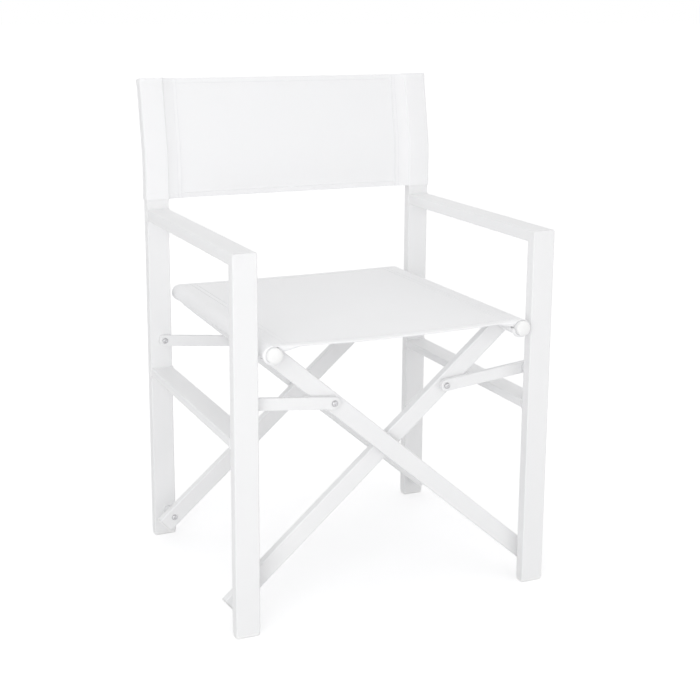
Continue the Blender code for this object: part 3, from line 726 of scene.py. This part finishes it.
def crossbar(bar, end):
    """One crossed bar, coped under its seat tube."""
    name = f"crossbar_{bar}_{end}"
    low, high, middle = node_box(name)
    lower = pivot(f"lower_bolt_{'right' if bar == 'a' else 'left'}_{end}")
    tail = -math.hypot(lower.x, CENTRE.z - lower.z) - BAR_TAIL
    ring = outline(BAR_WIDTH, high.y - low.y, TUBE_EDGE, splits=BAR_SPLITS)

    def top(across):
        saddle = math.sqrt(max(0.0, TUBE_RADIUS**2 - across**2))
        return BAR_REACH - max(SADDLE_SET, saddle)

    rings = [[Vector((*p, tail)) for p in ring], [Vector((*p, top(p.x))) for p in ring]]
    matrix = bar_frame(bar, middle.y)
    piece(f"bar_tube_{bar}_{end}", rings, COAT, BAR_BODY[bar], name, matrix=matrix)


def seat_tube(side, body):
    """A round seat tube and its two domed caps."""
    name = f"seat_tube_{side}"
    low, high, middle = node_box(name)
    matrix = placement((middle.x, low.y, middle.z), (1, 0, 0), (0, 1, 0))
    rings = [circle(TUBE_RADIUS, 0.0), circle(TUBE_RADIUS, high.y - low.y)]
    piece(f"seat_rod_{side}", rings, COAT, body, name, matrix=matrix, ease=ROD_EASE)
    for end, y, out in (("front", low.y, -1), ("rear", high.y, 1)):
        cap = f"seat_tube_cap_{side}_{end}"
        cap_low, cap_high, _ = node_box(cap)
        dome = low.y - cap_low.y if end == "front" else cap_high.y - high.y
        rings = [circle(TUBE_RADIUS - TUBE_WALL, -CAP_RIM)]
        rings += [circle(TUBE_RADIUS, 0.0), circle(TUBE_RADIUS, CAP_RIM)]
        for step in range(1, CAP_STEPS):
            turn = math.pi / 2 * step / CAP_STEPS
            rings.append(circle(TUBE_RADIUS * math.cos(turn), CAP_RIM + (dome - CAP_RIM) * math.sin(turn)))
        matrix = placement((middle.x, y, middle.z), (1, 0, 0), (0, out, 0))
        piece(f"tube_cap_{side}_{end}", rings, PLASTIC, body, cap, matrix=matrix, ease=0)


def link(side, end):
    """A flat link between a leg's bolt and a bar's bolt."""
    name = f"link_{side}_{end}"
    low, high, middle = node_box(name)
    leg = pivot(f"link_leg_bolt_{side}_{end}")
    bar = pivot(f"link_bar_bolt_{side}_{end}")
    span = Vector((bar.x - leg.x, 0.0, bar.z - leg.z))
    points = []
    for centre, start in ((span.length, -math.pi / 2), (0.0, math.pi / 2)):
        for step in range(LINK_STEPS + 1):
            turn = start + math.pi * step / LINK_STEPS
            points.append((centre + LINK_WIDTH / 2 * math.cos(turn), LINK_WIDTH / 2 * math.sin(turn)))
    half = (high.y - low.y) / 2
    rings = [[Vector((x, y, z)) for x, y in points] for z in (-half, half)]
    matrix = placement((leg.x, middle.y, leg.z), span, (0, 1, 0))
    soft = {"ease": LINK_EASE, "ease_steps": LINK_EASE_STEPS}
    piece(f"link_bar_{side}_{end}", rings, COAT, LINK_BODY[side], name, matrix=matrix, **soft)


def hexagon(height, scale=1.0):
    """A ring of points round a hexagonal socket."""
    points = []
    for index in range(HEX_SIDES):
        turn = 2 * math.pi * index / HEX_SIDES
        swing = (turn % (math.pi / 3)) - math.pi / 6
        radius = scale * HEX_RADIUS * math.cos(math.pi / 6) / math.cos(swing)
        points.append(Vector((radius * math.cos(turn), radius * math.sin(turn), height)))
    return points


def bolt(name, body, out):
    """A button-head bolt with a hexagonal socket. out is the way its head faces along Y."""
    low, high, middle = node_box(name)
    seat = high.y - HEAD_HEIGHT if out > 0 else low.y + HEAD_HEIGHT
    length = high.y - low.y - HEAD_HEIGHT
    rings = [circle(SHANK_RADIUS, -length, HEX_SIDES), circle(SHANK_RADIUS, 0.0, HEX_SIDES)]
    for step in range(HEAD_STEPS + 1):
        turn = math.pi / 2 * step / HEAD_STEPS
        radius = HEAD_FLAT + (HEAD_RADIUS - HEAD_FLAT) * math.cos(turn)
        rings.append(circle(radius, HEAD_HEIGHT * math.sin(turn), HEX_SIDES))
    rings.append(hexagon(HEAD_HEIGHT, HEX_FLARE))
    rings.append(hexagon(HEAD_HEIGHT - HEX_FLARE_DEPTH))
    rings.append(hexagon(HEAD_HEIGHT - HEX_DEPTH))
    matrix = placement((middle.x, seat, middle.z), (1, 0, 0), (0, out, 0))
    piece(f"screw_{name}", rings, STEEL, body, name, matrix=matrix, ease=0)


# Cloth
def rows_between(length, hem, exact=()):
    """Row places along a hemmed edge: close together at both hems, and at each exact place."""
    edge = [*EDGE_ROWS, hem - HEM_EASE, hem, hem + HEM_EASE]
    places = set(edge) | {length - place for place in edge} | set(exact)
    count = round((length - 2 * hem) / ROW_STEP)
    for index in range(1, count):
        place = hem + (length - 2 * hem) * index / count
        if min(abs(place - other) for other in places) > ROW_STEP / 3:
            places.add(place)
    return sorted(places)


def eased(value):
    """A smooth step from 0 to 1."""
    value = min(1.0, max(0.0, value))
    return value * value * (3 - 2 * value)


def round_edge(near, run):
    """The share of a sheet's thickness at this distance from its round edge."""
    return max(EDGE_SHARE, math.sqrt(max(0.0, 1 - (1 - min(near / run, 1.0)) ** 2)))


def cloth_faces(place, length, hem, above=HEM_EXTRA, below=0.0, ease=HEM_EASE, run=None):
    """How far a sheet's outer and inner faces stand off its middle, with round, thicker hems."""
    near = min(place, length - place)
    share = eased((hem + ease - near) / (2 * ease))
    outer = CLOTH / 2 + above * share
    inner = CLOTH / 2 + below * share
    half = (outer + inner) / 2
    middle = (outer - inner) / 2
    thick = half * round_edge(near, run or half)
    return middle + thick, thick - middle


def section_normals(points):
    """Normals of an open path in a plane, on its left side."""
    behind = points[:1] + points[:-1]
    ahead = points[1:] + points[-1:]
    ways = [(after - before).normalized() for before, after in zip(behind, ahead)]
    return [Vector((-way.y, way.x)) for way in ways]


def lengths_along(points):
    """The length of a path up to each of its points."""
    lengths = [0.0]
    for point, after in zip(points, points[1:]):
        lengths.append(lengths[-1] + (after - point).length)
    return lengths


def thick_sheet(name, outer, inner, places, kept):
    """A closed sheet between two grids of points. places gives each point's flat place in the cloth."""
    rows, columns = len(outer), len(outer[0])

    def keeps(row, column):
        inside = 0 <= row < rows - 1 and 0 <= column < columns - 1
        return inside and (kept is None or kept(row, column))

    bm = bmesh.new()
    weave = bm.loops.layers.uv.new(WEAVE_UV)
    made = {}

    def corner(layer, row, column):
        key = (layer, row, column)
        if key not in made:
            made[key] = bm.verts.new((outer if layer else inner)[row][column])
        return made[key]

    def face(keys):
        added = bm.faces.new([corner(*key) for key in keys])
        for loop, key in zip(added.loops, keys):
            loop[weave].uv = places[key[1]][key[2]]

    for row in range(rows - 1):
        for column in range(columns - 1):
            if not keeps(row, column):
                continue
            ring = [(row, column), (row, column + 1), (row + 1, column + 1), (row + 1, column)]
            face([(1, *key) for key in ring])
            face([(0, *key) for key in reversed(ring)])
            beside = [(row - 1, column), (row, column + 1), (row + 1, column), (row, column - 1)]
            for first, second, next_cell in zip(ring, ring[1:] + ring[:1], beside):
                if not keeps(*next_cell):
                    face([(1, *second), (1, *first), (0, *first), (0, *second)])
    item = smooth_object(name, bm, SLOT_MATERIAL[SLING])
    item.data.set_sharp_from_angle(angle=CLOTH_SHARP_ANGLE)
    return item


def swept_sheet(name, section, places, faces, lay, flip=1, course=1, kept=None):
    """A sheet swept from a section over rows of places, and its section's length.

    faces tells how far its two faces stand off the section, and lay puts a point of the section at a place.
    flip turns its outer face over, and course turns its weave.
    """
    normals = [normal * flip for normal in section_normals(section)]
    runs = lengths_along(section)
    outer, inner, flat = [], [], []
    for place in places:
        stands = [faces(place, point) for point in section]
        rows = list(zip(section, normals, stands))
        outer.append([lay(point + normal * stand[0], place) for point, normal, stand in rows])
        inner.append([lay(point - normal * stand[1], place) for point, normal, stand in rows])
        flat.append([(course * run, place) for run in runs])
    return thick_sheet(name, outer, inner, flat, kept), runs[-1]


def slow_wave(x, y):
    """Slow, slight unevenness of stretched cloth."""
    waves = [math.sin(2 * math.pi * (x / a + y / b)) for a, b in WAVE_LENGTHS]
    return WAVE * sum(waves) / len(waves)


def pucker(across, along):
    """Small dimples beside a seam, between its stitches."""
    near = math.exp(-((across / PUCKER_REACH) ** 2))
    return PUCKER * near * math.sin(2 * math.pi * along / PUCKER_PITCH)


def stitches(name, lines):
    """Rows of stitches. Each line is a list of places, each a point, a direction and a normal."""
    bm = bmesh.new()
    for line in lines:
        for point, along, normal in line:
            along = along.normalized()
            across = normal.cross(along).normalized()
            normal = along.cross(across)
            tips = [bm.verts.new(point + along * STITCH_LENGTH / 2 * side) for side in (-1, 1)]
            rings = []
            for side in (-STITCH_SHOULDER, 0.0, STITCH_SHOULDER):
                centre = point + along * STITCH_LENGTH / 2 * side
                centre += normal * STITCH_RADIUS * (STITCH_END_RISE if side else STITCH_RISE)
                ring = []
                for index in range(STITCH_SIDES):
                    turn = 2 * math.pi * index / STITCH_SIDES
                    spoke = across * math.cos(turn) + normal * math.sin(turn)
                    ring.append(bm.verts.new(centre + spoke * STITCH_RADIUS))
                rings.append(ring)
            for index in range(STITCH_SIDES):
                after = (index + 1) % STITCH_SIDES
                bm.faces.new((tips[0], rings[0][after], rings[0][index]))
                bm.faces.new((tips[1], rings[-1][index], rings[-1][after]))
                for first, second in zip(rings, rings[1:]):
                    bm.faces.new((first[index], first[after], second[after], second[index]))
    return smooth_object(name, bm, THREAD)


def stitch_places(length):
    """Places of stitches along a seam of this length."""
    count = int((length - 2 * STITCH_INSET) / STITCH_PITCH)
    return [length / 2 + (index - (count - 1) / 2) * STITCH_PITCH for index in range(count)]


SLEEVE_RADIUS = TUBE_RADIUS + CLOTH_GAP + CLOTH / 2
SEAT_SLOPE = math.atan2(2 * SEAT_SAG, TUBE_X)
SEAT_END_X = TUBE_X - SLEEVE_RADIUS * math.sin(SEAT_SLOPE)
SEAT_END_Z = TUBE_Z + SLEEVE_RADIUS * math.cos(SEAT_SLOPE)
SEAT_SEAM_X = TUBE_X - SEAT_SEAM_RUN
SEAT_FRONT = TUBE_LOW.y + SEAT_FRONT_SET
SEAT_LENGTH = TUBE_HIGH.y - TUBE_LOW.y - SEAT_FRONT_SET - SEAT_REAR_SET


def seat_height(x):
    """The seat panel's height in the middle of its cloth."""
    return SEAT_END_Z - SEAT_SAG * (1 - (x / SEAT_END_X) ** 2)


def seat_section():
    """The seat's section: the panel, a sleeve round each tube, and a lap sewn under the panel."""
    half = []
    for step in range(SEAT_STEPS):
        x = SEAT_END_X * step / SEAT_STEPS
        half.append(Vector((x, seat_height(x))))
    drop = CLOTH + LAP_GAP
    seam = Vector((SEAT_SEAM_X, seat_height(SEAT_SEAM_X) - drop))
    tube = Vector((TUBE_X, TUBE_Z))
    reach = seam - tube
    start = math.pi / 2 + SEAT_SLOPE
    leave = math.atan2(reach.y, reach.x) + math.acos(SLEEVE_RADIUS / reach.length) - 2 * math.pi
    for step in range(SLEEVE_STEPS + 1):
        turn = start + (leave - start) * step / SLEEVE_STEPS
        half.append(tube + SLEEVE_RADIUS * Vector((math.cos(turn), math.sin(turn))))
    last = half[-1]
    for share in SEAM_SHARES:
        half.append(last + (seam - last) * share)
    for share in LAP_SHARES:
        x = seam.x - SEAT_LAP * share
        half.append(Vector((x, seat_height(x) - drop)))
    return [Vector((-p.x, p.y)) for p in reversed(half)] + half[1:]


def notches():
    """The slots in the seat's sleeves: each bar's frame, and its place along the seat."""
    found = []
    for bar in BAR_BODY:
        for end in ENDS:
            low, high, middle = node_box(f"crossbar_{bar}_{end}")
            inverse = bar_frame(bar, middle.y).inverted()
            found.append((inverse, low.y - NOTCH_ROOM - SEAT_FRONT, high.y + NOTCH_ROOM - SEAT_FRONT))
    return found


def roll_depth(x):
    """How far the front roll hangs under the panel. Near a tube it is deeper, and rests on the tube."""
    beside = TUBE_X - abs(x)
    deeper = eased((ROLL_REACH - beside) / (ROLL_REACH - SLEEVE_RADIUS))
    depth = ROLL_BELOW + (ROLL_MOUTH - ROLL_BELOW) * deeper
    rest = TUBE_RADIUS + CLOTH_GAP
    if beside < rest:
        crown = TUBE_Z + math.sqrt(rest**2 - beside**2)
        depth = min(depth, max(0.0, seat_height(x) - CLOTH / 2 - crown))
    return depth


def seat_faces(place, point, on_panel):
    """The seat's two faces: its front hem is a soft roll, and its rear hem is turned once."""
    if place > SEAT_LENGTH / 2:
        return cloth_faces(place, SEAT_LENGTH, ROLL_HEM, ease=ROLL_EASE)
    if on_panel:
        depth = roll_depth(point.x)
        run = CLOTH + (ROLL_RUN - CLOTH) * min(1.0, depth / ROLL_BELOW)
        return cloth_faces(place, SEAT_LENGTH, ROLL_HEM, ROLL_ABOVE, depth, ROLL_EASE, run)
    fall = eased((SEAT_END_Z - point.y) / SLEEVE_RADIUS)
    share = eased((ROLL_HEM + ROLL_EASE - place) / (2 * ROLL_EASE))
    thick = CLOTH + (ROLL_ABOVE + (ROLL_ROUND - ROLL_ABOVE) * fall) * share
    return thick * round_edge(place, thick) - CLOTH / 2, CLOTH / 2


def seat_lift(x, place):
    """How far the panel stands off its even shape: slow waves, puckers and a front edge that hangs."""
    hang = DROOP * max(0.0, 1 - place / DROOP_RUN) ** 2
    lift = (slow_wave(x, place) - hang) * (1 - (x / SEAT_END_X) ** 2)
    for side in (-1, 1):
        lift += pucker(x - side * (SEAT_SEAM_X - SEAT_LAP / 2), place)
    return lift


def seat_sling():
    """The seat: one sheet of cloth from tube to tube, with its sleeves, hems and seams."""
    slots = notches()
    roll_end = ROLL_HEM + ROLL_EASE
    exact = [roll_end] + [edge for slot in slots for edge in slot[1:]]
    places = rows_between(SEAT_LENGTH, SEAT_HEM, exact)
    section = seat_section()

    def faces(place, point):
        on_panel = abs(point.x) < SEAT_END_X and abs(point.y - seat_height(point.x)) < CLOTH / 4
        front, back = seat_faces(place, point, on_panel)
        shift = seat_lift(point.x, place) if on_panel else 0.0
        return front + shift, back - shift

    def lay(point, place):
        return Vector((point.x, SEAT_FRONT + place, point.y))

    def kept(row, column):
        place = (places[row] + places[row + 1]) / 2
        if place < roll_end and min(column, len(section) - 2 - column) < LAP_CELLS:
            return False
        point = (section[column] + section[column + 1]) / 2
        for inverse, low, high in slots:
            if low < place < high:
                local = inverse @ Vector((point.x, 0.0, point.y))
                reach = BAR_REACH - SADDLE_SET + NOTCH_ROOM
                if abs(local.x) < BAR_WIDTH / 2 + NOTCH_ROOM and 0.0 < local.z < reach:
                    return False
        return True

    return swept_sheet("seat_cloth", section, places, faces, lay, kept=kept)


def seat_stitching():
    """The seat's stitches: two rows along each seam and one along each hem."""
    up = Vector((0.0, 0.0, 1.0))

    def on_top(x, place):
        lift = seat_lift(x, place) + seat_faces(place, Vector((x, seat_height(x))), True)[0]
        return Vector((x, SEAT_FRONT + place, seat_height(x) + lift))

    lines = []
    along = Vector((0.0, 1.0, 0.0))
    for side in (-1, 1):
        for inset in (SEAT_SEAM_INSET, SEAT_LAP - SEAT_SEAM_INSET):
            x = side * (SEAT_SEAM_X - inset)
            lines.append([(on_top(x, place), along, up) for place in stitch_places(SEAT_LENGTH)])
    across = Vector((1.0, 0.0, 0.0))
    width = 2 * (SEAT_END_X - SEAT_HEM_ENDS)
    for place in (SEAT_HEM, SEAT_LENGTH - SEAT_HEM):
        lines.append([(on_top(run - width / 2, place), across, up) for run in stitch_places(width)])
    return stitches("seat_stitching", lines)


BACK_LENGTH = POST_TOP_RISE + BACK_RISE - BACK_BOTTOM
BACK_SEAM_X = INNER_X - BACK_SEAM_RUN
PANEL_DEPTH = -(CLOTH + LAP_GAP) / 2
PANEL_END = BACK_SEAM_X + BACK_TONGUE


def back_wave(x, place):
    """How far the back's panel stands off its even shape."""
    return slow_wave(x, place) * (1 - (x / PANEL_END) ** 2)


def sheet_on_posts(name, section, flip):
    """A sheet swept up the posts from a section of (x, depth) points. flip turns its outer face over."""

    def faces(place, point):
        front, back = cloth_faces(place, BACK_LENGTH, BACK_HEM)
        shift = back_wave(point.x, place) if name.startswith("back_cloth") else 0.0
        return front + shift, back - shift

    def lay(point, place):
        return on_post(point.x, point.y, BACK_BOTTOM + place)

    places = rows_between(BACK_LENGTH, BACK_HEM)
    return swept_sheet(name, section, places, faces, lay, flip, -flip)


def back_panel(side):
    """Half of the back's panel, from its middle to between the two layers of its sleeve's lap."""
    section = []
    for step in range(BACK_STEPS + 1):
        x = PANEL_END * step / BACK_STEPS
        section.append(Vector((SIDES[side] * x, PANEL_DEPTH)))
    return sheet_on_posts(f"back_cloth_{side}", section, -SIDES[side])


def around_post():
    """The sleeve's way round the right post, from its inner face by the front back to its inner face."""
    offset = CLOTH_GAP + CLOTH / 2
    post = outline(LEG_WIDTH + 2 * offset, LEG_DEPTH + 2 * offset, TUBE_EDGE + offset)
    corner = EDGE_STEPS + 1
    return [Vector((LEG_X + p.x, p.y)) for p in post[2 * corner:] + post[:2 * corner]]


def on_side(side, section):
    """A right-hand section, turned over for the left side."""
    return [Vector((SIDES[side] * p.x, p.y)) for p in section]


def back_sleeve(side):
    """A sleeve closed round its post."""
    around = around_post()
    inner = Vector((around[0].x, 0.0))
    return sheet_on_posts(f"back_sleeve_{side}", on_side(side, [inner, *around, inner]), -SIDES[side])


def back_wing(side, end):
    """The cloth from a sleeve's front or rear to its seam, lapped over that face of the panel."""
    around = around_post()
    start = around[0] if end == "front" else around[-1]
    layer = PANEL_DEPTH - ENDS[end] * (CLOTH + LAP_GAP)
    seam = Vector((BACK_SEAM_X, layer))
    lap = Vector((BACK_SEAM_X - BACK_LAP, layer))
    section = on_side(side, [lap, (lap + seam) / 2, seam, (seam + start) / 2, start])
    return sheet_on_posts(f"back_wing_{end}_{side}", section, -SIDES[side] * ENDS[end])


def back_seam_stitching(side):
    """Two rows of stitches on each face of a sleeve's lap."""
    lines = []
    face = CLOTH * 1.5 + LAP_GAP
    for direction in (-1, 1):
        for inset in (BACK_SEAM_INSET, BACK_LAP - BACK_SEAM_INSET):
            x = SIDES[side] * (BACK_SEAM_X - inset)
            line = []
            for place in stitch_places(BACK_LENGTH):
                hem = cloth_faces(place, BACK_LENGTH, BACK_HEM)[0] - CLOTH / 2
                depth = PANEL_DEPTH + direction * (face + hem)
                point = on_post(x, depth, BACK_BOTTOM + place)
                along = on_post(x, depth, BACK_BOTTOM + place + STITCH_RADIUS) - point
                normal = on_post(x, depth + direction * STITCH_RADIUS, BACK_BOTTOM + place) - point
                line.append((point, along, normal.normalized()))
            lines.append(line)
    return stitches(f"back_seam_stitching_{side}", lines)


def back_hem_stitching(side):
    """One row of stitches along each hem of half the back, on both faces."""
    lines = []
    width = BACK_SEAM_X - BACK_LAP
    across = Vector((1.0, 0.0, 0.0))
    for direction in (-1, 1):
        for place in (BACK_HEM - BACK_HEM_INSET, BACK_LENGTH - BACK_HEM + BACK_HEM_INSET):
            front, back = cloth_faces(place, BACK_LENGTH, BACK_HEM)
            line = []
            for run in stitch_places(width):
                x = SIDES[side] * run
                depth = PANEL_DEPTH - back_wave(x, place) + (back if direction > 0 else -front)
                point = on_post(x, depth, BACK_BOTTOM + place)
                normal = on_post(x, depth + direction * STITCH_RADIUS, BACK_BOTTOM + place) - point
                line.append((point, across, normal.normalized()))
            lines.append(line)
    return stitches(f"back_hem_stitching_{side}", lines)


def follow_bars(item):
    """Cloth that hangs between the two seat tubes."""
    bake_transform(item)


def fold_behind(item, side):
    """Cloth that moves with its side's frame, on a mesh of its own."""
    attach(item, SIDE_BODY[side])
    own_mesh(item)


def back_half(side):
    """Half of the back: its panel, its sleeve, and the sleeve's two wings."""
    sleeve, sleeve_width = back_sleeve(side)
    stand_for(sleeve, SIDE_BODY[side], SLING, "back_sling")
    panel, panel_width = back_panel(side)
    hems = back_hem_stitching(side)
    seams = back_seam_stitching(side)
    for item in (panel, hems, seams):
        fold_behind(item, side)
    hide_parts("back_sling")
    for end in ENDS:
        wing, wing_width = back_wing(side, end)
        fold_behind(wing, side)
        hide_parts("back_sling")


def slings():
    """Both slings, with what they are cut to."""
    seat, seat_width = seat_sling()
    seams = seat_stitching()
    follow_bars(seat)
    follow_bars(seams)
    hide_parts("seat_sling")
    for side in SIDES:
        back_half(side)


def metal_parts():
    """Everything but the cloth."""
    for side in SIDES:
        front_leg(side)
        armrest(side)
        side_rail(side)
        rear_post(side)
        side_welds(side)
        for end in ENDS:
            foot(side, end)
            link(side, end)
            bolt(f"lower_bolt_{side}_{end}", SIDE_BODY[side], ENDS[end])
            bolt(f"link_leg_bolt_{side}_{end}", SIDE_BODY[side], ENDS[end])
            bolt(f"link_bar_bolt_{side}_{end}", LINK_BODY[side], -ENDS[end])
    for bar in BAR_BODY:
        seat_tube(BAR_TUBE[bar], BAR_BODY[bar])
        for end in ENDS:
            crossbar(bar, end)
    for end in ENDS:
        bolt(f"centre_bolt_{end}", "x_bars_a", ENDS[end])


def dress_cad_nodes():
    """Give every CAD node its slot's finish."""
    for sub in frame["record"]["subparts"]:
        node = frame["nodes"][sub["node"]]
        node.data.materials.clear()
        node.data.materials.append(SLOT_MATERIAL[sub["material_slot"]])


# Studio
SKY_LOW = 0.29
SKY_HIGH = 1.06
BACKDROP = 1.0
FLOOR_SIZE = 45.0
FLOOR_DROP = 0.0002
FLOOR_COLOUR = (0.80, 0.80, 0.805, 1.0)
FLOOR_GLOW = 0.41
FLOOR_GLOW_NEAR = 0.36
FLOOR_NEAR = 0.5
FLOOR_FAR = 4.5
LAMP_TARGET = (0.0, 0.0, 0.45)
LAMP_SIZE = 2.0
LAMPS = {
    "key": ((-1.90, -2.53, 1.05), 31.5),
    "fill": ((1.60, -2.76, 0.67), 10.5),
    "rear": ((-0.30, 3.00, 0.80), 4.5),
}


def studio_world():
    """Soft white light from all round, stronger overhead, and a white backdrop."""
    world = bpy.data.worlds.new("studio")
    bpy.context.scene.world = world
    tree = Tree(world)
    parts = tree.nodes.new("ShaderNodeSeparateXYZ")
    tree.set(parts.inputs[0], tree.add("ShaderNodeTexCoord", "Generated"))
    sky = tree.span(parts.outputs["Z"], low=SKY_LOW, high=SKY_HIGH)
    tree.dress(Color=WHITE, Strength=tree.lit_or_seen(sky, BACKDROP))


def studio_floor():
    """A wide white floor that keeps the chair's soft shadow."""
    tree = Tree(bpy.data.materials.new("floor"))
    away = tree.nodes.new("ShaderNodeVectorMath")
    away.operation = "LENGTH"
    tree.set(away.inputs[0], tree.object_place())
    glow = tree.span(away.outputs["Value"], FLOOR_GLOW_NEAR, FLOOR_GLOW, FLOOR_NEAR, FLOOR_FAR)
    material = tree.dress(
        Base_Color=FLOOR_COLOUR,
        Roughness=0.9,
        Specular_IOR_Level=0.0,
        Emission_Color=WHITE,
        Emission_Strength=tree.lit_or_seen(0.0, glow),
    )
    bm = bmesh.new()
    bmesh.ops.create_grid(bm, x_segments=2, y_segments=2, size=FLOOR_SIZE)
    floor = smooth_object("floor", bm, material)
    floor.location.z = cad_low.z - FLOOR_DROP


def lamps():
    """Soft square lamps, turned to the chair."""
    for name, (place, power) in LAMPS.items():
        light = bpy.data.lights.new(name, "AREA")
        light.shape = "SQUARE"
        light.size = LAMP_SIZE
        light.energy = power
        item = bpy.data.objects.new(name, light)
        item.location = place
        aim = Vector(LAMP_TARGET) - Vector(place)
        item.rotation_euler = aim.to_track_quat("-Z", "Y").to_euler()
        bpy.context.scene.collection.objects.link(item)


def camera():
    """The photograph's view."""
    lens = bpy.data.cameras.new("camera")
    lens.sensor_width = SENSOR
    lens.lens = FOCAL_PIXELS / FRAME_PIXELS * SENSOR
    lens.shift_y = SHIFT_PIXELS / FRAME_PIXELS
    lens.clip_start, lens.clip_end = CLIP
    item = bpy.data.objects.new("camera", lens)
    level = math.cos(CAMERA_PITCH)
    aim = Vector(
        (math.sin(CAMERA_AZIMUTH) * level, math.cos(CAMERA_AZIMUTH) * level, -math.sin(CAMERA_PITCH))
    )
    turn = aim.to_track_quat("-Z", "Y").to_matrix().to_4x4() @ Matrix.Rotation(CAMERA_ROLL, 4, "Z")
    item.matrix_world = Matrix.Translation(CAMERA_PLACE) @ turn
    bpy.context.scene.collection.objects.link(item)
    bpy.context.scene.camera = item


metal_parts()
slings()
dress_cad_nodes()
studio_world()
studio_floor()
lamps()
camera()
bpy.context.scene.view_settings.view_transform = "Standard"
